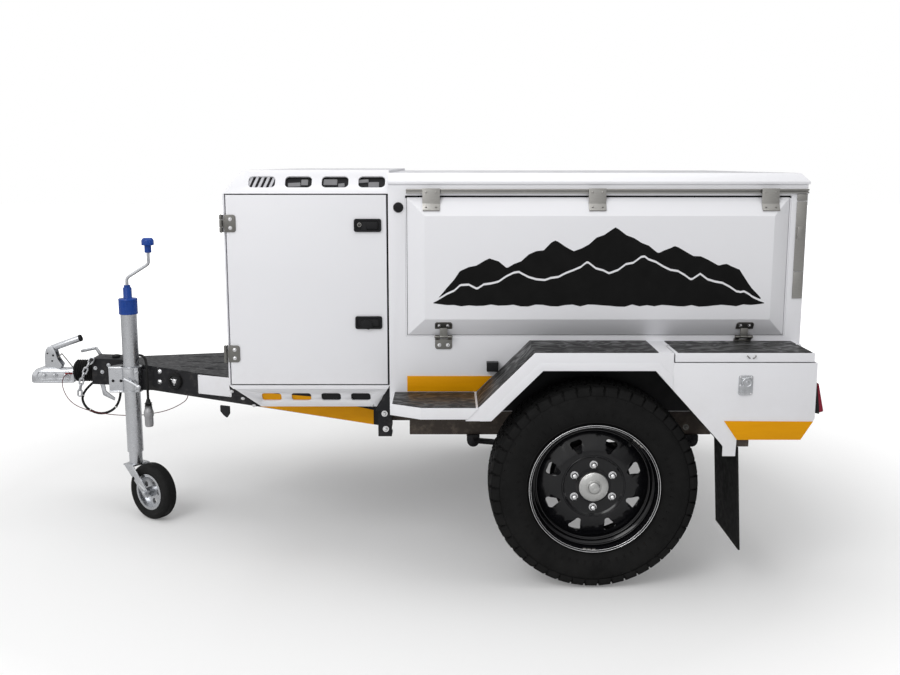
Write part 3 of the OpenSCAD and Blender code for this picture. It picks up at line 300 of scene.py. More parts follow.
def gloss_black():
    f = Finish("gloss_black", (0.004, 0.004, 0.005), 0.16, specular=0.3, coat=0.1)
    f.rough(f.spread(f.noise(35, 4), 0.35, 0.7, 0.1, 0.26))
    f.bump(f.noise(90, 3), 0.04, 0.0006)
    return f.mat


def tyre_rubber():
    f = Finish("tyre_rubber", (0.009, 0.009, 0.009), 0.72, specular=0.08)
    shade = f.mix(f.noise(18, 5), (0.006, 0.006, 0.006), (0.012, 0.012, 0.012))
    dusty(f, shade, (0.026, 0.025, 0.024), 0.0, 0.3, 0.5)
    f.rough(f.spread(f.noise(30, 4), 0.3, 0.7, 0.58, 0.82))
    f.bump(f.noise(380, 4), 0.3, 0.0006)
    return f.mat


def red_lens():
    f = Finish("red_lens", (0.16, 0.008, 0.02), 0.18, specular=0.3)
    node = f.nodes.new("ShaderNodeTexWave")
    node.inputs["Scale"].default_value = 60
    node.bands_direction = "Y"
    f.links.new(f.mapped(), node.inputs["Vector"])
    f.colour(f.mix(node.outputs["Fac"], (0.12, 0.005, 0.014), (0.24, 0.01, 0.03)))
    f.bump(node.outputs["Fac"], 0.4, 0.001)
    return f.mat


MATS = {
    "white": white_paint(),
    "chassis": frame_paint("chassis_paint", (0.062, 0.05, 0.042), (0.15, 0.125, 0.10)),
    "black": frame_paint("black_paint", (0.016, 0.016, 0.018), (0.055, 0.052, 0.05)),
    "deck": deck_plate(),
    # The grip sheet's second colour is its painted highlight on the wave crests.
    "grip": grip_sheet("grip_sheet", (0.014, 0.014, 0.014), (0.055, 0.055, 0.055)),
    "orange": orange_band(),
    "stainless": stainless(),
    "dark_steel": stainless("dark_steel", (0.13, 0.127, 0.12), (0.24, 0.235, 0.22)),
    "bright": bright_metal(),
    "turned": turned_metal(),
    "plastic": moulded("black_plastic", (0.009, 0.009, 0.01), 0.42, 0.14),
    "plug_shell": plug_shell(),
    "slot_grey": moulded("slot_grey", (0.16, 0.16, 0.165), 0.55),
    # Light grey for the bars behind the vents, which paint highlights.
    "bar_highlight": moulded("bar_highlight_grey", (0.42, 0.42, 0.44), 0.5),
    "zinc": zinc_plate(),
    "rubber": moulded("black_rubber", (0.009, 0.009, 0.009), 0.62, 0.08),
    "blue": moulded("blue_plastic", (0.003, 0.035, 0.20), 0.3, 0.3),
    "gloss_black": gloss_black(),
    "tyre": tyre_rubber(),
    "lens": red_lens(),
    "red_cable": moulded("red_cable", (0.07, 0.008, 0.01), 0.4),
    "decal": moulded("decal_film", (0.004, 0.004, 0.004), 0.5, 0.06),
    "tie": moulded("cable_tie", (0.62, 0.62, 0.60), 0.45),
    "red_clip": moulded("red_clip", (0.25, 0.02, 0.02), 0.4),
}


# Mesh tools: everything is drawn in millimetres and moved to the row frame at the end


def basis(origin, along, up):
    """A frame whose X runs along, whose Y lies on the side of up and whose Z is their normal."""
    x = Vector(along).normalized()
    z = x.cross(Vector(up)).normalized()
    turn = Matrix((x, z.cross(x), z)).transposed().to_4x4()
    return Matrix.Translation(Vector(origin)) @ turn


def rounded(w, h, r, steps=5):
    """Corner points of a rounded rectangle about the origin, counter-clockwise."""
    points = []
    for k, (sx, sy) in enumerate(((1, 1), (-1, 1), (-1, -1), (1, -1))):
        for i in range(steps + 1):
            a = math.radians(90 * k + 90 * i / steps)
            points.append((sx * (w / 2 - r) + r * math.cos(a), sy * (h / 2 - r) + r * math.sin(a)))
    return points


def shifted(points, dx, dy):
    return [(x + dx, y + dy) for x, y in points]


def prism(bm, outline, low, high, m=Matrix()):
    """A closed prism over an outline in the X and Y of a frame."""
    bottom = [bm.verts.new(m @ Vector((x, y, low))) for x, y in outline]
    top = [bm.verts.new(m @ Vector((x, y, high))) for x, y in outline]
    bm.faces.new(bottom[::-1])
    bm.faces.new(top)
    for i in range(len(outline)):
        j = (i + 1) % len(outline)
        bm.faces.new((bottom[i], bottom[j], top[j], top[i]))


def slab(bm, outline, y0, y1):
    """A side profile in X and Z between two stations on the left side, the first one farther out."""
    prism(bm, outline, -y1, -y0, basis((0, 0, 0), (1, 0, 0), (0, 0, 1)))


def panes(bm, corners, low, high, m):
    """Rectangles between pairs of opposite corners, as prisms."""
    for (x0, y0), (x1, y1) in corners:
        prism(bm, [(x0, y0), (x1, y0), (x1, y1), (x0, y1)], low, high, m)


def around(r, degrees, centre=(0, 0)):
    """Points of a circle at the given angles."""
    turns = [math.radians(a) for a in degrees]
    return [(centre[0] + r * math.cos(a), centre[1] + r * math.sin(a)) for a in turns]


def collar(bm, outer, inner, low, high, m=Matrix()):
    """A closed ring between two outlines of as many points."""
    loops = [[bm.verts.new(m @ Vector((x, y, z))) for x, y in line]
             for line, z in ((outer, low), (outer, high), (inner, high), (inner, low))]
    count = len(outer)
    for a, b in zip(loops, loops[1:] + loops[:1]):
        for i in range(count):
            j = (i + 1) % count
            bm.faces.new((a[i], a[j], b[j], b[i]))


def lathe(bm, profile, steps, m=Matrix()):
    """A profile of radius and height turned about a frame's Z. Zero radius at an end closes it as a pole."""
    rings = []
    for r, z in profile:
        if r == 0:
            rings.append([bm.verts.new(m @ Vector((0, 0, z)))])
        else:
            turns = [2 * math.pi * k / steps for k in range(steps)]
            rings.append([bm.verts.new(m @ Vector((r * math.cos(a), r * math.sin(a), z))) for a in turns])
    closed = len(rings[0]) > 1 and len(rings[-1]) > 1
    pairs = list(zip(rings, rings[1:])) + ([(rings[-1], rings[0])] if closed else [])
    for a, b in pairs:
        for k in range(steps):
            j = (k + 1) % steps
            corners = [a[k % len(a)], a[j % len(a)], b[j % len(b)], b[k % len(b)]]
            corners = [v for i, v in enumerate(corners) if v not in corners[:i]]
            if len(corners) > 2:
                bm.faces.new(corners)


def sweep(bm, points, r, sides=12, loop=False):
    """A round tube along points, with a frame that doesn't twist."""
    p = [Vector(q) for q in points]
    n = len(p)
    heading = []
    for i in range(n):
        a = p[(i - 1) % n] if loop else p[max(i - 1, 0)]
        b = p[(i + 1) % n] if loop else p[min(i + 1, n - 1)]
        heading.append((b - a).normalized())
    normal = heading[0].orthogonal().normalized()
    rings = []
    for i in range(n):
        normal = (normal - normal.dot(heading[i]) * heading[i]).normalized()
        side = heading[i].cross(normal)
        turns = [2 * math.pi * k / sides for k in range(sides)]
        rings.append([bm.verts.new(p[i] + r * (math.cos(a) * normal + math.sin(a) * side)) for a in turns])
    for a, b in list(zip(rings, rings[1:])) + ([(rings[-1], rings[0])] if loop else []):
        start = 0
        if loop and a is rings[-1]:
            start = min(range(sides), key=lambda k: (b[k].co - a[0].co).length)
        for k in range(sides):
            j = (k + 1) % sides
            bm.faces.new((a[k], a[j], b[(j + start) % sides], b[(k + start) % sides]))
    if not loop:
        bm.faces.new(rings[0][::-1])
        bm.faces.new(rings[-1])


def bar(bm, a, b, r, sides=16):
    sweep(bm, [a, b], r, sides)


def smooth(points, steps):
    """Points along a smooth curve through the given ones, as the part's source makes it."""
    p = [Vector(q) for q in points]
    out = []
    for i in range(len(p) - 1):
        a, b, c, d = p[max(i - 1, 0)], p[i], p[i + 1], p[min(i + 2, len(p) - 1)]
        for k in range(steps):
            s = k / steps
            out.append(0.5 * (2 * b + (c - a) * s + (2 * a - 5 * b + 4 * c - d) * s * s
                              + (3 * b - a - 3 * c + d) * s ** 3))
    return out + [p[-1]]


def bent(points, reach, steps=6):
    """A path whose inner corners are rounded off by arcs that start this far from each corner."""
    p = [Vector(q) for q in points]
    out = [p[0]]
    for a, b, c in zip(p, p[1:], p[2:]):
        start, end = b + (a - b).normalized() * reach, b + (c - b).normalized() * reach
        for k in range(steps + 1):
            s = k / steps
            out.append((1 - s) ** 2 * start + 2 * s * (1 - s) * b + s * s * end)
    return out + [p[-1]]


def link(name, mesh, material):
    piece = bpy.data.objects.new(name, mesh)
    bpy.context.scene.collection.objects.link(piece)
    mesh.materials.clear()
    mesh.materials.append(MATS[material])
    return piece


def attach(piece, body, replaces=()):
    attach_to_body(piece, body)
    if replaces:
        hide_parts(*replaces)
    return piece


def facing_z(m):
    """The direction of a frame's Z."""
    return m.to_3x3() @ Vector((0, 0, 1))


def led_along(origin, heading):
    """A frame at a point whose Z leads along a heading."""
    return Matrix.Translation(origin) @ heading.to_track_quat("Z", "Y").to_matrix().to_4x4()


def sharp_edges(bm, degrees):
    limit = math.radians(degrees)
    return [e for e in bm.edges if len(e.link_faces) == 2 and e.calc_face_angle(0) > limit]


def finish(bm, name, material, body=ROOT, replaces=(), bevel=0.0, segments=2, crease=32, side=LEFT):
    """Turns drawn millimetres into a piece, mirrored for the right side, that rides on its body."""
    if side == RIGHT:
        bm.transform(Matrix.Diagonal((1, -1, 1, 1)))
    bmesh.ops.remove_doubles(bm, verts=bm.verts, dist=0.001)
    bmesh.ops.recalc_face_normals(bm, faces=bm.faces)
    if bevel:
        bmesh.ops.bevel(bm, geom=sharp_edges(bm, 30), offset=bevel, segments=segments, profile=0.6,
                        affect="EDGES", clamp_overlap=True)
    bm.transform(TO_ROW)
    mesh = bpy.data.meshes.new(name)
    bm.to_mesh(mesh)
    bm.free()
    mesh.shade_smooth()
    mesh.set_sharp_from_angle(angle=math.radians(crease))
    return attach(link(name, mesh, material), body, replaces)


def refined(node, material, bevel, crease=32):
    """A copy of a CAD solid with its edges broken, which stands for it."""
    bm = bmesh.new()
    bm.from_mesh(frame["nodes"][node].data)
    bmesh.ops.remove_doubles(bm, verts=bm.verts, dist=0.00002)
    bmesh.ops.dissolve_limit(bm, angle_limit=math.radians(0.4), verts=bm.verts, edges=bm.edges)
    edges = [e for e in sharp_edges(bm, 25) if e.calc_length() > 1.5 * bevel * MM]
    bmesh.ops.bevel(bm, geom=edges, offset=bevel * MM, segments=2, profile=0.6, affect="EDGES",
                    clamp_overlap=True)
    bmesh.ops.triangulate(bm, faces=[f for f in bm.faces if len(f.verts) > 4])
    mesh = bpy.data.meshes.new(node + "_skin")
    bm.to_mesh(mesh)
    bm.free()
    mesh.shade_smooth()
    mesh.set_sharp_from_angle(angle=math.radians(crease))
    return attach(link(node + "_skin", mesh, material), NODE_BODY[node], (node,))


def coat(node, material):
    """A CAD solid that stays as it is and only gets its finish."""
    for place in frame["nodes"][node].material_slots:
        place.material = MATS[material]


# Geometry Nodes trees


def new_tree(name, inputs):
    tree = bpy.data.node_groups.new(name, "GeometryNodeTree")
    for title, kind in inputs:
        tree.interface.new_socket(title, in_out="INPUT", socket_type=kind)
    tree.interface.new_socket("Geometry", in_out="OUTPUT", socket_type="NodeSocketGeometry")
    return tree, tree.nodes.new("NodeGroupInput"), tree.nodes.new("NodeGroupOutput")


def end_tree(tree, source, given, out):
    """Every tree ends in real geometry with its material set."""
    real = tree.nodes.new("GeometryNodeRealizeInstances")
    paint = tree.nodes.new("GeometryNodeSetMaterial")
    tree.links.new(source, real.inputs[0])
    tree.links.new(real.outputs[0], paint.inputs["Geometry"])
    tree.links.new(given.outputs["Material"], paint.inputs["Material"])
    tree.links.new(paint.outputs["Geometry"], out.inputs[0])


def bolt_tree():
    """Dome heads on washers, set on points along each point's own facing."""
    tree, given, out = new_tree("bolt_heads", [
        ("Geometry", "NodeSocketGeometry"), ("Head Radius", "NodeSocketFloat"),
        ("Head Height", "NodeSocketFloat"), ("Washer Radius", "NodeSocketFloat"), ("Sides", "NodeSocketInt"),
        ("Material", "NodeSocketMaterial")])
    add = tree.nodes.new

    def scaled(value, factor):
        node = add("ShaderNodeMath")
        node.operation = "MULTIPLY"
        tree.links.new(value, node.inputs[0])
        node.inputs[1].default_value = factor
        return node.outputs[0]

    def lifted(shape, height):
        move, shift = add("GeometryNodeTransform"), add("ShaderNodeCombineXYZ")
        tree.links.new(height, shift.inputs["Z"])
        tree.links.new(shape, move.inputs["Geometry"])
        tree.links.new(shift.outputs[0], move.inputs["Translation"])
        return move.outputs["Geometry"]

    washer, shank = add("GeometryNodeMeshCylinder"), add("GeometryNodeMeshCylinder")
    dome = add("GeometryNodeMeshCone")
    height, head = given.outputs["Head Height"], given.outputs["Head Radius"]
    washer.inputs["Vertices"].default_value = 20
    tree.links.new(given.outputs["Washer Radius"], washer.inputs["Radius"])
    tree.links.new(scaled(height, 0.3), washer.inputs["Depth"])
    tree.links.new(given.outputs["Sides"], shank.inputs["Vertices"])
    tree.links.new(head, shank.inputs["Radius"])
    tree.links.new(scaled(height, 0.7), shank.inputs["Depth"])
    tree.links.new(given.outputs["Sides"], dome.inputs["Vertices"])
    tree.links.new(head, dome.inputs["Radius Bottom"])
    tree.links.new(scaled(head, 0.55), dome.inputs["Radius Top"])
    tree.links.new(scaled(height, 0.35), dome.inputs["Depth"])
    join, scatter = add("GeometryNodeJoinGeometry"), add("GeometryNodeInstanceOnPoints")
    for shape, rise in ((washer, 0.1), (shank, 0.5), (dome, 0.84)):
        tree.links.new(lifted(shape.outputs["Mesh"], scaled(height, rise)), join.inputs[0])
    facing, align = add("GeometryNodeInputNamedAttribute"), add("FunctionNodeAlignRotationToVector")
    facing.data_type = "FLOAT_VECTOR"
    facing.inputs["Name"].default_value = "facing"
    align.axis = "Z"
    tree.links.new(facing.outputs["Attribute"], align.inputs["Vector"])
    tree.links.new(given.outputs["Geometry"], scatter.inputs["Points"])
    tree.links.new(join.outputs[0], scatter.inputs["Instance"])
    tree.links.new(align.outputs["Rotation"], scatter.inputs["Rotation"])
    end_tree(tree, scatter.outputs["Instances"], given, out)
    return tree


def wheel_tree():
    """Repeats its own geometry round the Y axis."""
    tree, given, out = new_tree("round_the_axle", [
        ("Geometry", "NodeSocketGeometry"), ("Count", "NodeSocketInt"), ("Step", "NodeSocketFloat"),
        ("Material", "NodeSocketMaterial")])
    add = tree.nodes.new
    line, index, turn = add("GeometryNodeMeshLine"), add("GeometryNodeInputIndex"), add("ShaderNodeMath")
    euler, scatter = add("ShaderNodeCombineXYZ"), add("GeometryNodeInstanceOnPoints")
    turn.operation = "MULTIPLY"
    line.inputs["Offset"].default_value = (0, 0, 0)
    tree.links.new(given.outputs["Count"], line.inputs["Count"])
    tree.links.new(index.outputs[0], turn.inputs[0])
    tree.links.new(given.outputs["Step"], turn.inputs[1])
    tree.links.new(turn.outputs[0], euler.inputs["Y"])
    tree.links.new(line.outputs["Mesh"], scatter.inputs["Points"])
    tree.links.new(given.outputs["Geometry"], scatter.inputs["Instance"])
    tree.links.new(euler.outputs[0], scatter.inputs["Rotation"])
    end_tree(tree, scatter.outputs["Instances"], given, out)
    return tree


BOLTS, ROUND_AXLE = bolt_tree(), wheel_tree()


def grown(name, mesh, tree, settings, material):
    """Runs a tree on a mesh and returns the plain mesh that comes out."""
    holder = bpy.data.objects.new(name, mesh)
    bpy.context.scene.collection.objects.link(holder)
    modifier = holder.modifiers.new(name, "NODES")
    modifier.node_group = tree
    ids = {s.name: s.identifier for s in tree.interface.items_tree if s.in_out == "INPUT"}
    for title, value in {**settings, "Material": MATS[material]}.items():
        modifier[ids[title]] = value
    found = holder.evaluated_get(bpy.context.evaluated_depsgraph_get())
    result = bpy.data.meshes.new_from_object(found)
    bpy.data.objects.remove(holder)
    bpy.data.meshes.remove(mesh)
    return result


def bolts(name, places, radius, height, material, body=ROOT, side=LEFT, sides=6, washer=1.5, replaces=()):
    """Bolt or rivet heads at (point, facing) places, in millimetres."""
    mesh = bpy.data.meshes.new(name)
    flip = Vector((1, side * LEFT, 1))
    mesh.from_pydata([TO_ROW @ (Vector(p) * flip) for p, d in places], [], [])
    facing = mesh.attributes.new("facing", "FLOAT_VECTOR", "POINT")
    for entry, (p, d) in zip(facing.data, places):
        entry.vector = (Vector(d) * flip).normalized()
    settings = {"Head Radius": radius * MM, "Head Height": height * MM, "Washer Radius": radius * washer * MM,
                "Sides": sides}
    result = grown(name, mesh, BOLTS, settings, material)
    result.shade_smooth()
    result.set_sharp_from_angle(angle=math.radians(25))
    return attach(link(name, result, material), body, replaces)


def ring_of(name, bm, count, centre, material):
    """One pitch, drawn about the axle at the origin, repeated round it and moved to its wheel."""
    bmesh.ops.recalc_face_normals(bm, faces=bm.faces)
    bm.transform(Matrix.Scale(MM, 4))
    mesh = bpy.data.meshes.new(name)
    bm.to_mesh(mesh)
    bm.free()
    result = grown(name, mesh, ROUND_AXLE, {"Count": count, "Step": 2 * math.pi / count}, material)
    result.transform(Matrix.Translation(TO_ROW @ Vector(centre)))
    result.shade_smooth()
    result.set_sharp_from_angle(angle=math.radians(32))
    return link(name, result, material)


# Cords, whose routes repeat the source's points


def route(points):
    return [tuple(round(c, 6) for c in TO_ROW @ Vector(q)) for q in points]


def free_cord(name, points, steps, radius, material, replaces):
    path = route(smooth(points, steps))
    curve = bpy.data.curves.new(name, "CURVE")
    curve.dimensions = "3D"
    curve.bevel_depth = radius * MM
    curve.bevel_resolution = 4
    curve.use_fill_caps = True
    line = curve.splines.new("POLY")
    line.points.add(len(path) - 1)
    for point, q in zip(line.points, path):
        point.co = (*q, 1)
    curve.materials.append(MATS[material])
    piece = bpy.data.objects.new(name, curve)
    bpy.context.scene.collection.objects.link(piece)
    attach(piece, ROOT, replaces)
    return piece


BREAKAWAY = [(-1938, -30.5, 534), (-1941, -38, 536), (-1954, -47, 534), (-1965, -54, 518), (-1967, -60, 494),
             (-1957, -65, 464), (-1940, -69, 438), (-1912, -73, 416), (-1868, -77, 399), (-1806, -80, 386),
             (-1754, -81, 380), (-1700, -82, 378), (-1650, -88, 382), (-1600, -99, 392), (-1552, -116, 406),
             (-1508, -134, 426), (-1470, -150, 450), (-1456, -157, 468), (-1454, -158, 482.3)]
LEAD = [(-1843, 50.6, 504), (-1846, 60, 503), (-1862, 66, 497), (-1880, 60, 486), (-1893, 44, 474),
        (-1900, 22, 464), (-1903, 0, 455), (-1903, -24, 443), (-1897, -42, 426), (-1879, -53, 402),
        (-1848, -58, 386), (-1820, -62, 382), (-1792, -66, 388), (-1768, -70, 402), (-1750, -74, 424),
        (-1739, -77, 452), (-1734, -79, 484), (-1732, -80, 520), (-1728, -80, 556), (-1716, -78, 586),
        (-1692, -76, 606), (-1664, -80, 616), (-1638, -100, 618), (-1618, -130, 610), (-1608, -150, 588),
        (-1605, -160, 560), (-1604, -164, 528), (-1604, -165, 496), (-1604, -165, 462.3)]


def cables():
    """The plug, both cords as the source routes them, and the ties round the lead."""
    plug_at = Vector((-1604, -165, 356))
    bm = bmesh.new()
    profile = [(0, 0), (13, 0), (15, 2), (15.6, 6), (15.6, 36), (17, 39), (18.6, 42), (18.6, 56), (17, 61),
               (15.6, 66), (14, 70)]
    for k in range(4):
        profile += [(14.6, 73 + 6 * k), (12.6 - 0.9 * k, 76 + 6 * k)]
    profile += [(8, 101), (7, 106), (0, 106)]
    lathe(bm, profile, 32, Matrix.Translation(plug_at))
    for k in range(10):
        a = math.radians(36 * k)
        outward = Vector((math.cos(a), math.sin(a), 0)) * 15.4
        bar(bm, plug_at + outward + Vector((0, 0, 8)), plug_at + outward + Vector((0, 0, 34)), 1.6, 8)
    plug = finish(bm, "trailer_plug_body", "plug_shell", replaces=("trailer_plug",))
    free_cord("breakaway_cord", BREAKAWAY, 4, 1.5, "red_cable", ("breakaway_cable",))
    free_cord("lead_cord", LEAD, 2, 4.75, "rubber", ("lead_cable",))
    path = smooth(LEAD, 2)
    bm = bmesh.new()
    for i in (14, 19, 27, 34):
        tied = led_along(path[i], path[i + 1] - path[i])
        collar(bm, rounded(12.6, 12.6, 6.2), rounded(9.6, 9.6, 4.7), -2, 2, tied)
    finish(bm, "cable_ties", "tie")


# Body panels


PANELS = [
    ("body_shell", "white", 1.2), ("roof_pan", "white", 1.4), ("nose_shell", "white", 1.0),
    ("nose_vents", "white", 0.9), ("mudguards", "white", 1.2), ("step_boards", "white", 1.2),
    ("lockers", "white", 1.2), ("nose_door_left", "white", 1.6), ("nose_door_right", "white", 1.6),
    ("side_door_left", "white", 1.6), ("side_door_right", "white", 1.6), ("locker_lid_left", "white", 1.2),
    ("locker_lid_right", "white", 1.2), ("rear_door", "white", 1.6), ("tread_plates", "grip", 0.5),
    ("chassis_frame", "chassis", 1.5), ("drawbar", "black", 1.8), ("drawbar_deck", "deck", 0.8),
    ("frame_brackets", "black", 0.8), ("axle_beam", "black", 1.5), ("spring_hangers", "black", 0.8),
    ("awning_rails", "stainless", 0.6), ("corner_strips", "stainless", 0.8), ("mudflaps", "rubber", 0.8),
    ("lamp_housings", "plastic", 1.2), ("lamp_lenses", "lens", 1.2), ("colour_bands", "orange", 0.4),
    ("handbrake_lever", "zinc", 1.2), ("jockey_fork", "zinc", 1.0), ("body_fittings", "plastic", 1.0),
    ("leaf_springs", "black", 0.6),
]
KEPT = [("jockey_outer_tube", "zinc"), ("jockey_inner_tube", "zinc"), ("jockey_rim", "zinc"),
        ("side_markers", "rubber")]


def panels():
    for node, material, bevel in PANELS:
        refined(node, material, bevel)
    for node, material in KEPT:
        coat(node, material)


def door_seals(side_name, side):
    """Seals in the gaps round the doors: dark at the side door's top, a thin line on its other edges."""
    across = basis((0, -BODY_HALF + 10, 0), (1, 0, 0), (0, 0, 1))
    x0, x1, z0, z1 = DOOR_X0 - DOOR_GAP, DOOR_X1 + DOOR_GAP, DOOR_Z0 - DOOR_GAP, DOOR_Z1 + DOOR_GAP

    def strips(edge, line, top):
        """Strips left, right and below the door, this far from the gap's edge and from the door."""
        return [((x0 + edge, z0 + edge), (DOOR_X0 - line, top)),
                ((DOOR_X1 + line, z0 + edge), (x1 - edge, top)),
                ((DOOR_X0 - line, z0 + edge), (DOOR_X1 + line, DOOR_Z0 - line))]

    bm = bmesh.new()
    above = ((x0 + 0.3, DOOR_Z1 + 1), (x1 - 0.3, z1 - 0.3))
    panes(bm, [above] + strips(0.3, 0.6, DOOR_Z1), -6, 0, across)
    finish(bm, "door_seal_" + side_name, "rubber", side=side)
    bm = bmesh.new()
    panes(bm, strips(0.4, 1.7, DOOR_Z1 - 2), 0, 8.5, across)
    finish(bm, "door_trim_" + side_name, "white", side=side)
    bm = bmesh.new()
    front, rear = -NOSE_FRONT + 10, -BODY_FRONT - 6
    panes(bm, [((-BODY_FRONT - 5.4, NOSE_SILL + 1), (-BODY_FRONT - 0.3, NOSE_TOP - 1)),
               ((front, NOSE_TOP - 3.4), (rear, NOSE_TOP - 0.4)),
               ((front, NOSE_SILL + 0.4), (rear, NOSE_SILL + 3.4))], -8, -1, across)
    finish(bm, "nose_seal_" + side_name, "rubber", side=side)


def tread_cover(name, y0, y1, thick, bevel, body, side):
    """A sheet of tread along the locker's top, between two stations across the trailer."""
    top = basis((0, 0, GUARD_TOP), (1, 0, 0), (0, 1, 0))
    x0, x1 = LOCKER_FRONT + 13, LOCKER_REAR - 17
    bm = bmesh.new()
    prism(bm, shifted(rounded(x1 - x0, y1 - y0, 2), (x0 + x1) / 2, (y0 + y1) / 2), 0, thick, top)
    finish(bm, name, "grip", body, bevel=bevel, side=side)


def arch_parts(side_name, side):
    """Black sheets in the wheel arch as painted shade, the guard's lower band, the covering by the lid's
    hinge line, and bolts.
    """
    slope = GUARD_KNEE - GUARD_TOP
    bm = bmesh.new()
    # Black sheets under the guard and along the arch's inner wall are painted shade inside the wheel arch.
    slab(bm, [(slope + 565.1, 558), (slope + 774.1, 767), (232, 767), (232, 765.3), (slope + 775.1, 765.3),
              (slope + 567.5, 558)], -879, -667)
    slab(bm, [(slope + 546, 538), (slope + 774, 765), (232, 765), (232, 657), (340, 538)],
         -BODY_HALF - 1.3, -BODY_HALF)
    slab(bm, [(232, 656.6), (375.4, 499), (374, 498), (230.6, 655.6)], -879, -667)
    finish(bm, "arch_painted_shade_" + side_name, "plastic", side=side)
    bm = bmesh.new()
    slab(bm, [(-328.2, 558), (-169.2, 717), (177, 717), (232, 656.6), (232, 693.7), (188, 742), (-179.6, 742),
              (-363.6, 558)], -GUARD_OUT - 1.8, -GUARD_OUT)
    finish(bm, "guard_band_" + side_name, "white", bevel=1.2, side=side)
    tread_cover("strip_tread_" + side_name, -727, -670, 2.4, 0.5, ROOT, side)
    places = [((357, -540, 450), (0, -1, 0)), ((-470, -540, 500), (0, -1, 0))]
    bolts("rail_bolt_" + side_name, places, 7, 6, "dark_steel", side=side)


# Hinges, latches and clips


def leaf(bm, m, x0, x1, width, thick, corner, steps=6):
    """A hinge leaf in a frame whose X leads away from the pin, with its two far corners rounded."""
    points = [(x0, -width / 2), (x1 - corner, -width / 2)]
    for start, cy in ((-90, -width / 2 + corner), (0, width / 2 - corner)):
        for i in range(steps + 1):
            a = math.radians(start + 90 * i / steps)
            points.append((x1 - corner + corner * math.cos(a), cy + corner * math.sin(a)))
    points += [(x1 - corner, width / 2), (x0, width / 2)]
    prism(bm, points, 0, thick, m)


def knuckles(bm, m, spans):
    """Rolled knuckles along a frame's Y, which is the pin's axis."""
    for low, high in spans:
        bar(bm, m @ Vector((0, low, 0)), m @ Vector((0, high, 0)), KNUCKLE_R, 24)


def hinge_bolts(name, places, body, side):
    bolts(name, places, 4.6, 3.2, "bright", body, side, 6, 1.35)


def latch_shell(bm, m):
    """The sunk tray of a flush latch, in a frame on the door's face."""
    collar(bm, rounded(88, 42, 7), rounded(76, 30, 4), 0, 6, m)
    prism(bm, rounded(78, 32, 4), 0.2, 2, m)


HALF = FITTING_W / 2
MOVING_SPAN = [(-HALF + 0.27 * FITTING_W + 1, HALF - 0.27 * FITTING_W - 1)]
FIXED_SPANS = [(-HALF, -HALF + 0.27 * FITTING_W), (HALF - 0.27 * FITTING_W, HALF)]


def rolled(moving, fixed, pin):
    """Both sets of knuckles and the pin through them."""
    knuckles(moving, pin, MOVING_SPAN)
    knuckles(fixed, pin, FIXED_SPANS)
    bar(fixed, pin @ Vector((0, -HALF - 1.5, 0)), pin @ Vector((0, HALF + 1.5, 0)), 2.6)


def hinge_pair(moving, fixed, pin, leaf_m, fixed_m, reach, fixed_reach, neck, fixed_neck):
    """Both halves of one hinge: each has its knuckles, a tongue to them and a leaf."""
    rolled(moving, fixed, pin)
    leaf(moving, leaf_m, neck, reach, FITTING_W, 3, 9)
    prism(moving, [(0, MOVING_SPAN[0][0]), (neck + 1, MOVING_SPAN[0][0]), (neck + 1, MOVING_SPAN[0][1]),
                   (0, MOVING_SPAN[0][1])], 0, 3, leaf_m)
    leaf(fixed, fixed_m, fixed_neck, fixed_reach, FITTING_W, 3, 9)
    for low, high in FIXED_SPANS:
        prism(fixed, [(0, low), (fixed_neck + 1, low), (fixed_neck + 1, high), (0, high)], 0, 3, fixed_m)


def leaf_bolts(m, reach, spread=14):
    return [(m @ Vector((reach, y, 3)), facing_z(m)) for y in (-spread, spread)]


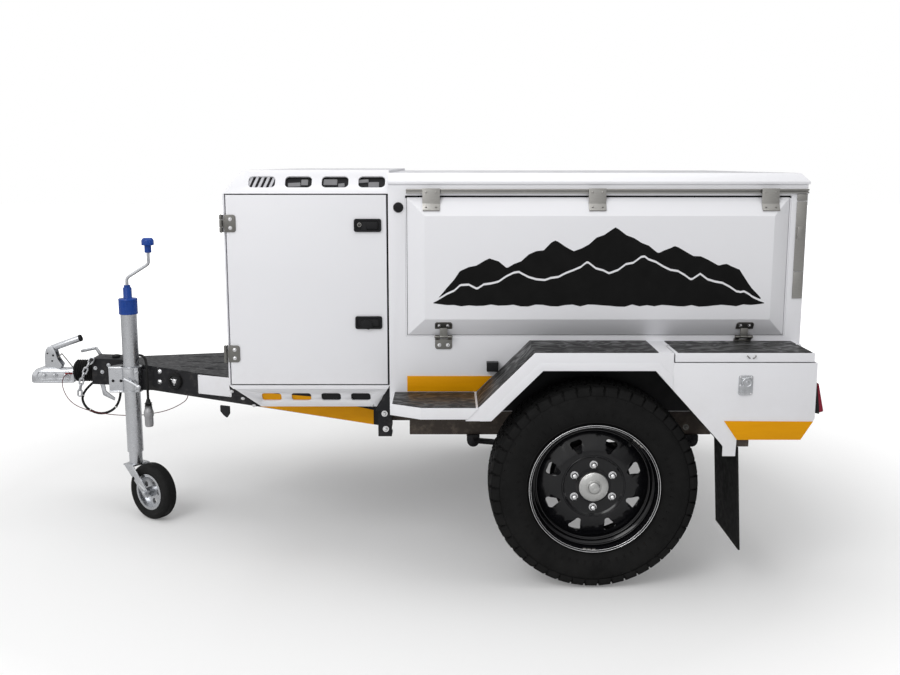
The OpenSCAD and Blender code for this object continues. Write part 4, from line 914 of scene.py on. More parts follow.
def nose_door_fittings(side_name, side):
    body = "nose_door_" + side_name
    moving, fixed, door_bolts, body_bolts = bmesh.new(), bmesh.new(), [], []
    for z in NOSE_HINGE_Z:
        pin = basis((-NOSE_FRONT - 6, -BODY_HALF - 6, z), (1, 0, 0), (0, 0, 1))
        leaf_m = basis((-NOSE_FRONT - 6, -BODY_HALF, z), (1, 0, 0), (0, 0, 1))
        fixed_m = basis((-NOSE_FRONT, -BODY_HALF - 6, z), (0, 1, 0), (0, 0, -1))
        hinge_pair(moving, fixed, pin, leaf_m, fixed_m, 46, 46, 9, 9)
        door_bolts += leaf_bolts(leaf_m, 29)
        body_bolts += leaf_bolts(fixed_m, 29)
    finish(moving, "nose_hinge_leaves_" + side_name, "dark_steel", body, ("nose_fittings_" + side_name,), 0.5,
           side=side)
    finish(fixed, "nose_hinge_mounts_" + side_name, "dark_steel", bevel=0.5, side=side)
    hinge_bolts("nose_hinge_bolts_" + side_name, door_bolts, body, side)
    hinge_bolts("nose_mount_bolts_" + side_name, body_bolts, ROOT, side)
    shell, paddle, lock = bmesh.new(), bmesh.new(), bmesh.new()
    for z in NOSE_LATCH_Z:
        m = basis((-BODY_FRONT - 66, -BODY_HALF, z), (1, 0, 0), (0, 0, 1))
        latch_shell(shell, m)
        tip = m @ Matrix.Translation((9, 0, 3)) @ Matrix.Rotation(math.radians(-5), 4, "Y")
        prism(paddle, rounded(48, 22, 4), 0, 4.4, tip)
        prism(paddle, shifted(rounded(16, 26, 4), -20, -3), 0, 5.2, tip)
        if z == max(NOSE_LATCH_Z):
            lathe(lock, [(4.6, 6), (7, 6), (7, 7.6), (6.4, 8.2), (5, 8.2), (4.6, 7.6)], 28,
                  m @ Matrix.Translation((-26, 2, 0)))
            prism(lock, shifted(rounded(6, 1.6, 0.6), -26, 2), 6.6, 7.2, m)
            lathe(paddle, [(0, 1), (5, 1), (5, 6.6), (0, 6.8)], 24, m @ Matrix.Translation((-26, 2, 0)))
        else:
            tab = m @ Matrix.Translation((-8, -6, 5)) @ Matrix.Rotation(math.radians(-22), 4, "Z")
            thumb = [(-18, -7), (-10, -14), (14, -12), (22, 2), (16, 14), (-6, 14), (-18, 4)]
            prism(paddle, thumb, 0, 7, tab)
    finish(shell, "nose_latch_shells_" + side_name, "plastic", body, ("nose_fittings_" + side_name,), 0.9,
           side=side)
    finish(paddle, "nose_latch_paddles_" + side_name, "plastic", body, bevel=1.0, side=side)
    finish(lock, "nose_latch_locks_" + side_name, "stainless", body, side=side)


def side_door_fittings(side_name, side):
    body = "side_door_" + side_name
    clips, rivets = bmesh.new(), []
    y = -BODY_HALF - RAIL_D - 5
    slope = DOOR_BEVEL / DOOR_RAISE
    foot = DOOR_Z1 - (RAIL_D + 5) * slope
    for x in CLIP_X:
        m = basis((x, 0, 0), (0, 1, 0), (0, 0, 1))
        prism(clips, [(y - 3, RAIL_Z + RAIL_H + 2), (y - 3, foot + 2), (y - 15, foot - 12 * slope),
                      (y - 12, foot - 0.3 - 12 * slope), (y, foot - 0.3), (y, foot + 1),
                      (y, RAIL_Z + RAIL_H + 2)], -HALF, HALF, m)
        lip_y, lip_z = y - 15 - 0.5, foot - 12 * slope - 0.5
        sweep(clips, [(x - HALF + 1, lip_y, lip_z), (x + HALF - 1, lip_y, lip_z)], 3.4, 14)
        for dx in (-16, 16):
            rivets.append(((x + dx, y - 3, RAIL_Z + 4), (0, -1, 0)))
            rivets.append(((x + dx, y - 9.6, foot - 7 * slope), (0, -slope, -1)))
    finish(clips, "awning_clips_" + side_name, "stainless", body, ("side_fittings_" + side_name,), 0.8,
           side=side)
    bolts("clip_rivets_" + side_name, rivets, 3.2, 2.0, "stainless", body, side, 12, 1.2)
    moving, fixed, door_bolts, body_bolts = bmesh.new(), bmesh.new(), [], []
    up = Vector((0, -DOOR_RAISE, DOOR_BEVEL)).normalized()
    for x in SIDE_HINGE_X:
        pin = basis((x, -BODY_HALF - HINGE_OFF, DOOR_Z0 - 3), (0, 0, 1), (1, 0, 0))
        over_locker = x > LOCKER_FRONT
        rolled(moving, fixed, pin)
        plate = basis(Vector((x, -BODY_HALF, DOOR_Z0)), up, (-1, 0, 0))
        leaf(moving, plate, 30, 58, FITTING_W, 3, 9)
        neck = basis((x, 0, 0), (0, 1, 0), (0, 0, 1))
        for low, high in MOVING_SPAN:
            prism(moving, [(-BODY_HALF - 24, DOOR_Z0), (-BODY_HALF - 16, DOOR_Z0),
                           (-BODY_HALF - 17.5, DOOR_Z0 + 25), (-BODY_HALF - 22, DOOR_Z0 + 26)],
                  low, high, neck)
        drop = DOOR_Z0 - 3 - GUARD_TOP - 0.5 if over_locker else 44
        wall = basis((x, -BODY_HALF, DOOR_Z0 - 3), (0, 0, -1), (1, 0, 0))
        leaf(fixed, wall, 10, drop, FITTING_W, 3, 2 if over_locker else 9)
        for low, high in FIXED_SPANS:
            prism(fixed, [(-BODY_HALF - HINGE_OFF - 1, DOOR_Z0 - 8),
                          (-BODY_HALF - HINGE_OFF + 1, DOOR_Z0 - 4), (-BODY_HALF, DOOR_Z0 - 12),
                          (-BODY_HALF - 1, DOOR_Z0 - 16), (-BODY_HALF - 3, DOOR_Z0 - 16)], low, high, neck)
        door_bolts += leaf_bolts(plate, 45)
        if not over_locker:
            body_bolts += leaf_bolts(wall, 30)
    finish(moving, "side_hinge_leaves_" + side_name, "dark_steel", body, ("side_fittings_" + side_name,), 0.5,
           side=side)
    finish(fixed, "side_hinge_mounts_" + side_name, "dark_steel", ROOT, ("hinge_leaves",), 0.5, side=side)
    hinge_bolts("side_hinge_bolts_" + side_name, door_bolts, body, side)
    hinge_bolts("side_mount_bolts_" + side_name, body_bolts, ROOT, side)


def rear_door_parts():
    moving, fixed, door_bolts, body_bolts = bmesh.new(), bmesh.new(), [], []
    for z in REAR_HINGE_Z:
        centre = (BODY_REAR + 7, REAR_HALF + DOOR_GAP + 2, z)
        pin = basis(centre, (0, -1, 0), (0, 0, -1))
        leaf_m = basis((BODY_REAR, centre[1], z), (0, -1, 0), (0, 0, -1))
        fixed_m = basis((BODY_REAR, centre[1], z), (0, 1, 0), (0, 0, 1))
        hinge_pair(moving, fixed, pin, leaf_m, fixed_m, 46, 44, 9, 9)
        door_bolts += leaf_bolts(leaf_m, 29)
        body_bolts += leaf_bolts(fixed_m, 28)
    finish(moving, "rear_hinge_leaves", "dark_steel", "rear_door", ("rear_door_fittings",), 0.5)
    finish(fixed, "rear_hinge_mounts", "dark_steel", ROOT, ("hinge_leaves",), 0.5)
    hinge_bolts("rear_hinge_bolts", door_bolts, "rear_door", LEFT)
    hinge_bolts("rear_mount_bolts", body_bolts, ROOT, LEFT)
    shell, paddle = bmesh.new(), bmesh.new()
    for z in (800, 1050):
        m = basis((BODY_REAR, -REAR_HALF + 70, z), (0, 1, 0), (0, 0, 1))
        latch_shell(shell, m)
        prism(paddle, shifted(rounded(48, 22, 4), -9, 0), 3, 8, m)
        lock_at = m @ Matrix.Translation((27, 2, 0))
        lathe(paddle, [(0, 2), (7.6, 2), (7.6, 6.4), (6.6, 7.4), (0, 7.4)], 28, lock_at)
    finish(shell, "rear_latch_shells", "plastic", "rear_door", ("rear_door_fittings",), 0.9)
    finish(paddle, "rear_latch_paddles", "plastic", "rear_door", bevel=0.9)
    bm = bmesh.new()
    seal = basis((BODY_REAR - 10, 0, 0), (0, 1, 0), (0, 0, 1))
    h = REAR_Z1 - REAR_Z0
    outer = shifted(rounded(2 * REAR_HALF + 11.6, h + 11.6, 1), 0, (REAR_Z0 + REAR_Z1) / 2)
    inner = shifted(rounded(2 * REAR_HALF + 2.4, h + 2.4, 1), 0, (REAR_Z0 + REAR_Z1) / 2)
    collar(bm, outer, inner, -6, 0, seal)
    finish(bm, "rear_seal", "rubber")


def locker_parts(side_name, side):
    """Lid tread, catch and the toggle latch on the locker's face."""
    m = basis((455, -GUARD_OUT, 672), (1, 0, 0), (0, 0, 1))
    bm = bmesh.new()
    prism(bm, rounded(44, 62, 6), 0, 2.4, m)
    lathe(bm, [(0, 2), (16, 2), (16, 6), (14.5, 7.5), (12, 7.5), (11, 6.4), (6, 6.4), (5, 8.6), (0, 9)], 36,
          m @ Matrix.Translation((3, 9, 0)))
    prism(bm, shifted(rounded(22, 30, 5), -9, -14), 2, 7.4, m)
    prism(bm, shifted(rounded(15, 8, 2), -9, -22), 7.4, 9, m)
    bar(bm, m @ Vector((-14, 20, 5)), m @ Vector((14, 26, 5)), 2.2, 10)
    finish(bm, "locker_latch_" + side_name, "zinc", ROOT, ("locker_latches",), 0.8, side=side)
    places = [(m @ Vector((x, y, 2.4)), (0, -1, 0)) for x, y in ((-17, 26), (17, 26), (17, -26), (-17, 0))]
    bolts("locker_latch_rivets_" + side_name, places, 2.4, 1.6, "bright", ROOT, side, 10, 1.2)
    body = "locker_lid_" + side_name
    tread_cover("lid_tread_" + side_name, -GUARD_OUT + 7, -742, 2.6, 0.6, body, side)
    bm = bmesh.new()
    for x in (-13, 13):
        wire = [(469 + x, -GUARD_OUT + 2, 764), (469 + x, -GUARD_OUT - 5, 764),
                (469 + x / 2, -GUARD_OUT - 5, 757), (469 + x / 3, -GUARD_OUT - 1, 757)]
        sweep(bm, bent(wire, 2.5), 1.6, 10)
    finish(bm, "lid_catch_" + side_name, "dark_steel", body, side=side)


def ridge(side_name, side):
    """A generic mountain ridge on the raised field: two dark bands with a light gap between them."""
    draw = random.Random(11)
    x0, x1, base = -515, 560, 903
    count = 180

    def peaks(x, table):
        return max(h - slope * abs(x - at) for at, h, slope in table)

    def rough(amount):
        step, low, high, out = 0, draw.uniform(-1, 1), draw.uniform(-1, 1), []
        for _ in range(count + 1):
            out.append(amount * (low + (high - low) * step / 4))
            step += 1
            if step > 4:
                step, low, high = 1, high, draw.uniform(-1, 1)
        return out

    far = [(-330, 1046, 0.42), (-120, 1098, 0.5), (70, 1150, 0.62), (260, 1086, 0.46), (430, 1030, 0.36)]
    near = [(-420, 962, 0.3), (-235, 1002, 0.42), (-20, 1030, 0.46), (165, 1052, 0.5), (345, 990, 0.4),
            (505, 946, 0.3)]
    xs = [x0 + (x1 - x0) * i / count for i in range(count + 1)]
    jag, fine, low = rough(7), rough(6), rough(4)
    ends = [min(1, (x - x0) / 90, (x1 - x) / 90) for x in xs]
    crest = [base + e * (max(peaks(x, far), 930) + j - base) for x, e, j in zip(xs, ends, jag)]
    front = [base + e * (max(peaks(x, near), 922) + j - base) for x, e, j in zip(xs, ends, fine)]
    foot = [base - 8 * e + e * j for e, j in zip(ends, low)]
    bm = bmesh.new()
    m = basis((0, -BODY_HALF - DOOR_RAISE, 0), (1, 0, 0), (0, 0, 1))
    for lower, upper in ((foot, front), ([f + 7 for f in front], crest)):
        start = None
        for i in range(count + 1):
            solid = i < count and upper[i] - lower[i] > 1.5 and upper[i + 1] - lower[i + 1] > 1.5
            if solid and start is None:
                start = i
            if not solid and start is not None:
                run = range(start, i + 1)
                loops = [[bm.verts.new(m @ Vector((xs[k], line[k], z))) for k in run]
                         for line, z in ((lower, -0.2), (lower, 0.5), (upper, 0.5), (upper, -0.2))]
                for a, b in zip(loops, loops[1:] + loops[:1]):
                    for k in range(len(a) - 1):
                        bm.faces.new((a[k], a[k + 1], b[k + 1], b[k]))
                bm.faces.new([loop[0] for loop in loops])
                bm.faces.new([loop[-1] for loop in loops][::-1])
                start = None
    finish(bm, "ridge_decal_" + side_name, "decal", "side_door_" + side_name, side=side)


# Wheels


def wheel_frame():
    """A frame at the left wheel's centre whose Z points outboard; finish mirrors what is drawn in it."""
    return basis((0, -TRACK, TYRE_R), (1, 0, 0), (0, 0, 1))


def tyre_parts(side_name, side):
    body, h, depth = "wheel_" + side_name, TYRE_W / 2, TYRE_R - RIM_R
    m = wheel_frame()
    bm = bmesh.new()
    # Half section from the middle of the tread to the bead: radius and distance from the middle plane
    half = [(325.5, 0), (325.2, 22), (324.6, 44), (322.6, 62), (319, 74), (313.5, 82), (306, 88),
            (303.6, 87.6), (302.6, 86.4), (301.4, 88.8), (298, 91), (290, 94), (280, 96.4), (268, 97.4),
            (256, 97), (244, 95.2), (232, 92), (222, 88.6), (217, 86.6), (215.6, 87.6), (214, 87.8),
            (212.6, 86), (209, 84), (204, 82.4), (203, 80)]
    inner = [(203, 70), (215, 74), (245, 82), (270, 84), (295, 78), (312, 60), (314, 0)]
    section = half + inner
    profile = section + [(r, -z) for r, z in section[-2:0:-1]]
    lathe(bm, profile, 144, m)
    finish(bm, "tyre_carcass_" + side_name, "tyre", body, ("tyre_" + side_name,), side=side, crease=50)
    pitches = 46
    pitch = 2 * math.pi * 325 / pitches
    bm = bmesh.new()

    def block(y0, y1, shift, length, lean, r_low, r_in, r_out):
        """One tread block between two widths, leaning along the turn, with its crown edges broken."""
        rings = []
        for inset, lift in ((0, 0), (0.6, 0.8), (1.6, 1.0)):
            ring = []
            for sy, s in ((0, -1), (1, -1), (1, 1), (0, 1)):
                y = y0 + inset if sy == 0 else y1 - inset
                x = shift + s * (length / 2 - inset) + lean * (y - (y0 + y1) / 2)
                r_top = r_in if sy == 0 else r_out
                r = r_low + (r_top - r_low) * lift - (0.8 if 0 < lift < 1 else 0)
                a = x / r
                ring.append(bm.verts.new((r * math.sin(a), y, r * math.cos(a))))
            rings.append(ring)
        for a, b in zip(rings, rings[1:]):
            for k in range(4):
                j = (k + 1) % 4
                bm.faces.new((a[k], a[j], b[j], b[k]))
        bm.faces.new(rings[-1])

    def placed(flip, y0, y1, shift, length, lean, r_low, r_in, r_out):
        """A block on one half of the tread, turned end for end on the other."""
        low, high = sorted((flip * y0, flip * y1))
        ends = (r_in, r_out) if flip == 1 else (r_out, r_in)
        block(low, high, flip * shift, length, flip * lean, r_low, *ends)

    for flip in (-1, 1):
        for k in (0, 1):
            placed(flip, 13, 32, (k - 0.5) * pitch / 2 + 3, pitch / 2 - 3.2, 0.35, 322, 333.6, 333.2)
        placed(flip, 37, 57, 8, pitch - 5.5, -0.25, 321, 333, 330.6)
        placed(flip, 62, 82, -3, pitch - 6, 0.2, 312, 331.6, 326.4)
        placed(flip, 82.6, 91.6, -2, pitch - 7, 0.0, 301, 324.4, 314)
    for k in (0, 1):
        block(-9, 9, (k - 0.5) * pitch / 2, pitch / 2 - 2.6, -0.3, 322, 333.8, 333.8)
    tread = ring_of("tread_blocks_" + side_name, bm, pitches, (0, side * TRACK, TYRE_R), "tyre")
    attach(tread, body, ("tyre_" + side_name,))
    # Sidewall ribs, repeated round the wheel
    bm = bmesh.new()
    for flip in (-1, 1):
        for r0, r1, y in ((238, 252, 96.4), (283, 294, 94.6)):
            points = [(math.sin(a) * r, flip * (y + lift), math.cos(a) * r)
                      for r, a, lift in ((r0, -0.008, -3), (r0, 0.008, -3), (r1, 0.008, -3), (r1, -0.008, -3),
                                         (r0, -0.004, 0.6), (r0, 0.004, 0.6), (r1, 0.004, 0.6),
                                         (r1, -0.004, 0.6))]
            v = [bm.verts.new(p) for p in points]
            for q in ((0, 1, 5, 4), (1, 2, 6, 5), (2, 3, 7, 6), (3, 0, 4, 7), (4, 5, 6, 7)):
                bm.faces.new([v[i] for i in q])
    ribs = ring_of("sidewall_ribs_" + side_name, bm, 60, (0, side * TRACK, TYRE_R), "tyre")
    attach(ribs, body)


def beads(name, rings, material, body, side, steps):
    """Round rings on the wheel, each with its radius, its place along the axle and its thickness."""
    bm = bmesh.new()
    for r, z, t in rings:
        turns = [2 * math.pi * k / steps for k in range(steps)]
        lathe(bm, [(r + t * math.cos(a), z + t * math.sin(a)) for a in turns], 144, wheel_frame())
    finish(bm, name, material, body, side=side, crease=60)


def rim_parts(side_name, side):
    body, m = "wheel_" + side_name, wheel_frame()
    h = TYRE_W / 2
    refined("rim_" + side_name, "gloss_black", 1.0, crease=38)
    bm = bmesh.new()
    lathe(bm, [(208.4, h - 7), (208.6, h - 3), (207, h - 0.8), (204.6, h - 0.4), (202.4, h - 1.4),
               (201.2, h - 3.4), (201.2, h - 7), (203, h - 4.6), (205, h - 3.4), (206.4, h - 5)], 144, m)
    finish(bm, "rim_lip_" + side_name, "gloss_black", body, side=side, crease=60)
    beads("rim_edges_" + side_name, ((206.9, h - 1.2, 1.0), (201.4, h - 3.2, 0.8)), "bright", body, side, 8)
    pressed = ((192.6, h - 30, 2.4), (181.5, h - 50, 3.2), (99, DISC_Z + 6.5, 2.6))
    beads("rim_beads_" + side_name, pressed, "gloss_black", body, side, 10)
    bm = bmesh.new()
    a = math.radians(52)
    foot = m @ Vector((188 * math.cos(a), 188 * math.sin(a), h - 44))
    tip = m @ Vector((176 * math.cos(a), 176 * math.sin(a), h - 14))
    sweep(bm, [foot, foot + (tip - foot) * 0.55], 5.2, 16)
    sweep(bm, [foot + (tip - foot) * 0.5, tip], 3.9, 16)
    finish(bm, "valve_" + side_name, "rubber", body, side=side)
    bm = bmesh.new()
    for start in (44, 262):
        for k in range(3):
            a = math.radians(start + 4.2 * k)
            weight = basis(m @ Vector((199 * math.cos(a), 199 * math.sin(a), h - 9)),
                           m.to_3x3() @ Vector((-math.sin(a), math.cos(a), 0)), facing_z(m))
            prism(bm, rounded(12, 10, 2), -1.5, 3, weight)
    finish(bm, "balance_weights_" + side_name, "stainless", body, bevel=0.6, side=side)


def hub_parts(side_name, side):
    body, m = "wheel_" + side_name, wheel_frame()
    bm = bmesh.new()
    lathe(bm, [(0, DISC_Z), (47.5, DISC_Z), (47.5, DISC_Z + 14), (46.6, DISC_Z + 15.6), (44, DISC_Z + 17),
               (26, DISC_Z + 21.4), (23.6, DISC_Z + 21), (22.6, DISC_Z + 22.4), (19.6, DISC_Z + 23),
               (19, DISC_Z + 29), (17.6, DISC_Z + 31), (15, DISC_Z + 32.4), (4, DISC_Z + 33),
               (0, DISC_Z + 32)], 96, m)
    finish(bm, "hub_cap_" + side_name, "turned", body, ("hub_" + side_name,), side=side)
    bm = bmesh.new()
    lathe(bm, [(21, -8), (122, -8), (122, DISC_Z - 20), (116, DISC_Z - 12), (70, DISC_Z - 6.6),
               (55.7, DISC_Z - 6.6), (55.7, DISC_Z), (0, DISC_Z), (0, 30), (21, 30)], 72, m)
    for k in range(3):
        lathe(bm, [(121, 4 + 9 * k), (124.5, 5 + 9 * k), (124.5, 8 + 9 * k), (121, 9 + 9 * k)], 72, m)
    finish(bm, "brake_drum_" + side_name, "black", body, ("hub_" + side_name,), side=side)
    bm = bmesh.new()
    nut = Matrix.Translation((0, 0, STUD_R)) @ Matrix.Rotation(math.radians(90), 4, "X")
    flip = side * LEFT
    z0 = flip * (DISC_Z + 0.4)
    prism(bm, around(11, range(0, 360, 60)), min(z0, z0 + 11 * flip), max(z0, z0 + 11 * flip), nut)
    lathe(bm, [(0, z0 + 20.6 * flip), (3.4, z0 + 20.2 * flip), (6.6, z0 + 18.4 * flip), (9, z0 + 15 * flip),
               (9.6, z0 + 11 * flip), (0, z0 + 10.6 * flip)], 24, nut)
    lathe(bm, [(0, z0), (12.4, z0), (12.4, z0 + 1.6 * flip), (0, z0 + 1.7 * flip)], 24, nut)
    nuts = ring_of("wheel_nuts_" + side_name, bm, 6, (0, side * TRACK, TYRE_R), "bright")
    attach(nuts, body)


# Drawbar, coupler and jockey stand


def rail_frame(x, z, lift=0.0):
    """On the left rail's outer face: X leads to the rear along the rail, Y up, Z outwards."""
    y = -draw_half(x)
    return basis((x, y - lift, z), (math.cos(DRAW_ANGLE), -math.sin(DRAW_ANGLE), 0), (0, 0, 1))


def marker(side_name, side):
    """Round marker on the rail: knurled ring, dark glass and a small bright core."""
    m = rail_frame(-1493, 535)
    bm = bmesh.new()
    lathe(bm, [(0, 9), (19, 9), (20, 12), (24, 14), (30, 12.5), (31, 9), (31, 0.4), (0, 0.4)], 48, m)
    for k in range(16):
        a = math.radians(22.5 * k)
        out = Vector((math.cos(a), math.sin(a), 0))
        bar(bm, m @ (30.6 * out + Vector((0, 0, 2))), m @ (30.6 * out + Vector((0, 0, 10))), 1.2, 6)
    finish(bm, "marker_ring_" + side_name, "rubber", ROOT, ("side_markers",), side=side)
    bm = bmesh.new()
    lathe(bm, [(0, 8), (18.6, 8), (18.6, 10.4), (16, 11.4), (11.6, 11.8), (0, 11.8)], 40, m)
    lathe(bm, [(22.4, 12), (24.6, 12), (24.6, 14.6), (22.4, 14.6)], 48, m)
    finish(bm, "marker_glass_" + side_name, "gloss_black", side=side)
    bm = bmesh.new()
    lathe(bm, [(0, 11), (9.6, 11), (9.4, 12.8), (7.4, 14), (4, 14.8), (0, 15)], 32, m)
    for k in range(3):
        a = math.radians(30 + 120 * k)
        spoke = [m @ Vector((r * math.cos(a), r * math.sin(a), 12)) for r in (10, 16)]
        bar(bm, *spoke, 1.4, 8)
    finish(bm, "marker_core_" + side_name, "bright", side=side)


def drawbar_parts():
    """Markers on both rails, and the plate, bolts and bracket on the left one."""
    for side_name, side in SIDES.items():
        marker(side_name, side)
    bm = bmesh.new()
    m = rail_frame(-1330, 532)
    prism(bm, rounded(150, 72, 3), 0.2, 1.4, m)
    finish(bm, "blank_plate", "white", bevel=0.3)
    corners = [(m @ Vector((x, y, 1.4)), facing_z(m)) for x in (-69, 69) for y in (-30, 30)]
    bolts("plate_rivets", corners, 2.2, 1.4, "bright", ROOT, LEFT, 10, 1.2)
    places = []
    for x, z in ((-1562, 565), (-1563, 525)):
        m = rail_frame(x, z)
        places.append((m.translation, facing_z(m)))
    bolts("rail_bolts", places, 6.5, 5.5, "bright")
    bm = bmesh.new()
    m = rail_frame(-1300, 0)
    prism(bm, [(-20, 456), (20, 456), (20, 428), (8, 412), (-6, 420), (-20, 434)], -18, -10, m)
    finish(bm, "rail_bracket", "black", bevel=0.8)


def valance_parts(side_name, side):
    """Bolts on the dark edge strips, the gusset behind the valance, and behind the slots black sheets of
    painted shade, an orange band, grey pieces and lighter bars that paint highlights.
    """
    face = (0, -VALANCE_H, -VALANCE_INSET)
    middle = (0, -BODY_HALF + VALANCE_INSET / 2, (NOSE_SILL + VALANCE_Z) / 2)
    low = basis(middle, (1, 0, 0), (0, -VALANCE_INSET, VALANCE_H))
    bm = bmesh.new()
    # A black sheet behind the valance's slots: painted shade.
    prism(bm, [(-1100, -36), (-705, -36), (-690, 30), (-1120, 30)], -6.9, -5.5, low)
    finish(bm, "valance_painted_shade_" + side_name, "plastic", side=side)
    bm = bmesh.new()
    prism(bm, [(-1094, -34), (-905, -34), (-905, -9), (-1094, 13)], -5.5, -5, low)
    finish(bm, "band_behind_slots_" + side_name, "orange", side=side)
    high = basis((0, -BODY_HALF + 27.5, (NOSE_TOP + CAP_TOP) / 2), (1, 0, 0), (0, 55, CAP_H))
    bm = bmesh.new()
    # A black sheet behind the nose vents: painted shade.
    prism(bm, shifted(rounded(452, 56, 8), -885, 0), -12, -10, high)
    finish(bm, "vent_painted_shade_" + side_name, "plastic", side=side)
    bm = bmesh.new()
    for x, w, h, y, turn in ((-958, 40, 15, -6, 4), (-925, 22, 22, 3, 0), (-842, 44, 22, 4, 0),
                             (-806, 20, 14, -8, 6), (-736, 34, 12, 8, 5), (-702, 34, 20, -6, 2)):
        turned = Matrix.Translation((x, y, 0)) @ Matrix.Rotation(math.radians(turn), 4, "Z")
        prism(bm, rounded(w, h, 2), -10, -7, high @ turned)
    finish(bm, "vent_fittings_" + side_name, "slot_grey", bevel=0.8, side=side)
    places = []
    for t in (0.16, 0.5, 0.84):
        x, y = -NOSE_FRONT + VALANCE_FRONT * t - 9, -BODY_HALF + VALANCE_INSET * t - 0.2
        places.append(((x, y, NOSE_SILL - VALANCE_H * t - 8), face))
    places.append(((-BODY_FRONT - 62, -BODY_HALF + 47, 546), face))
    bolts("valance_bolts_" + side_name, places, 5, 3.6, "bright", ROOT, side, 6, 1.3)
    bm = bmesh.new()
    m = basis((0, -BODY_HALF + 24, 0), (1, 0, 0), (0, 0, 1))
    prism(bm, [(-BODY_FRONT - VALANCE_REAR, VALANCE_Z - 8), (-BODY_FRONT - 0.3, VALANCE_Z - 8),
               (-BODY_FRONT - 0.3, NOSE_SILL - 2), (-BODY_FRONT - 6, NOSE_SILL - 2)], -3, 3, m)
    finish(bm, "corner_gusset_" + side_name, "black", bevel=0.6, side=side)
    m = basis((-BODY_FRONT - 24, -DRAW_ROOT - 22, 0), (1, 0, 0), (0, 0, 1))
    places = [(m @ Vector((x, z, 0)), (0, -1, 0)) for x, z in ((0, 506), (4, 452))]
    bolts("gusset_bolts_" + side_name, places, 7, 6, "bright", ROOT, side)
    bm = bmesh.new()
    # Lighter grey bars behind the vents are painted highlights of tread-plate bars.
    for k in range(5):
        x = -NOSE_FRONT + 123 - 36 + 18 * k
        prism(bm, [(x - 16, -24), (x - 7, -24), (x + 7, 24), (x - 2, 24)], -10, -6, high)
    finish(bm, "vent_bars_" + side_name, "bar_highlight", bevel=0.6, side=side)


def hitch_parts():
    """The shaft's bellows, the chain and the coupler."""
    bm = bmesh.new()
    m = basis((-1932.7, 0, SHAFT_Z), (0, 1, 0), (0, 0, 1))
    profile = [(0, 0), (33, 0), (36, 2)]
    for k in range(8):
        x = 5 + 8.8 * k
        profile += [(37, x), (41.6, x + 2.4), (43.4, x + 4.4), (41.6, x + 6.4)]
    profile += [(37, 76), (36, 79.4), (0, 79.4)]
    lathe(bm, profile, 56, m)
    finish(bm, "bellows", "rubber", replaces=("shaft_bellows",), crease=60)
    bm = bmesh.new()
    spots = ((-1842, -63, 599), (-1855, -63, 582.5), (-1867, -64, 563), (-1878, -64, 542.5),
             (-1887, -63, 520.5), (-1894, -62, 498), (-1899, -61, 475), (-1902, -60, 452))
    spine = [Vector(p) for p in spots]
    for i, (a, b) in enumerate(zip(spine, spine[1:])):
        heading = (b - a).normalized()
        across = heading.cross(Vector((0, 1, 0))).normalized() if i % 2 == 0 else Vector((0, 1, 0))
        centre, oval = (a + b) / 2, []
        for k in range(20):
            t = 2 * math.pi * k / 20
            half = 6 if math.cos(t) >= 0 else -6
            oval.append(centre + heading * (half + 7.4 * math.cos(t)) + across * 7.4 * math.sin(t))
        sweep(bm, oval, 3.5, 10, loop=True)
    finish(bm, "chain_links", "zinc", replaces=("safety_chain",), crease=70)
    coupler()


def strip_loft(bm, loops):
    """Joins closed loops of as many points and closes both ends."""
    rings = [[bm.verts.new(p) for p in loop] for loop in loops]
    for a, b in zip(rings, rings[1:]):
        for k in range(len(a)):
            j = (k + 1) % len(a)
            bm.faces.new((a[k], a[j], b[j], b[k]))
    bm.faces.new(rings[0][::-1])
    bm.faces.new(rings[-1])


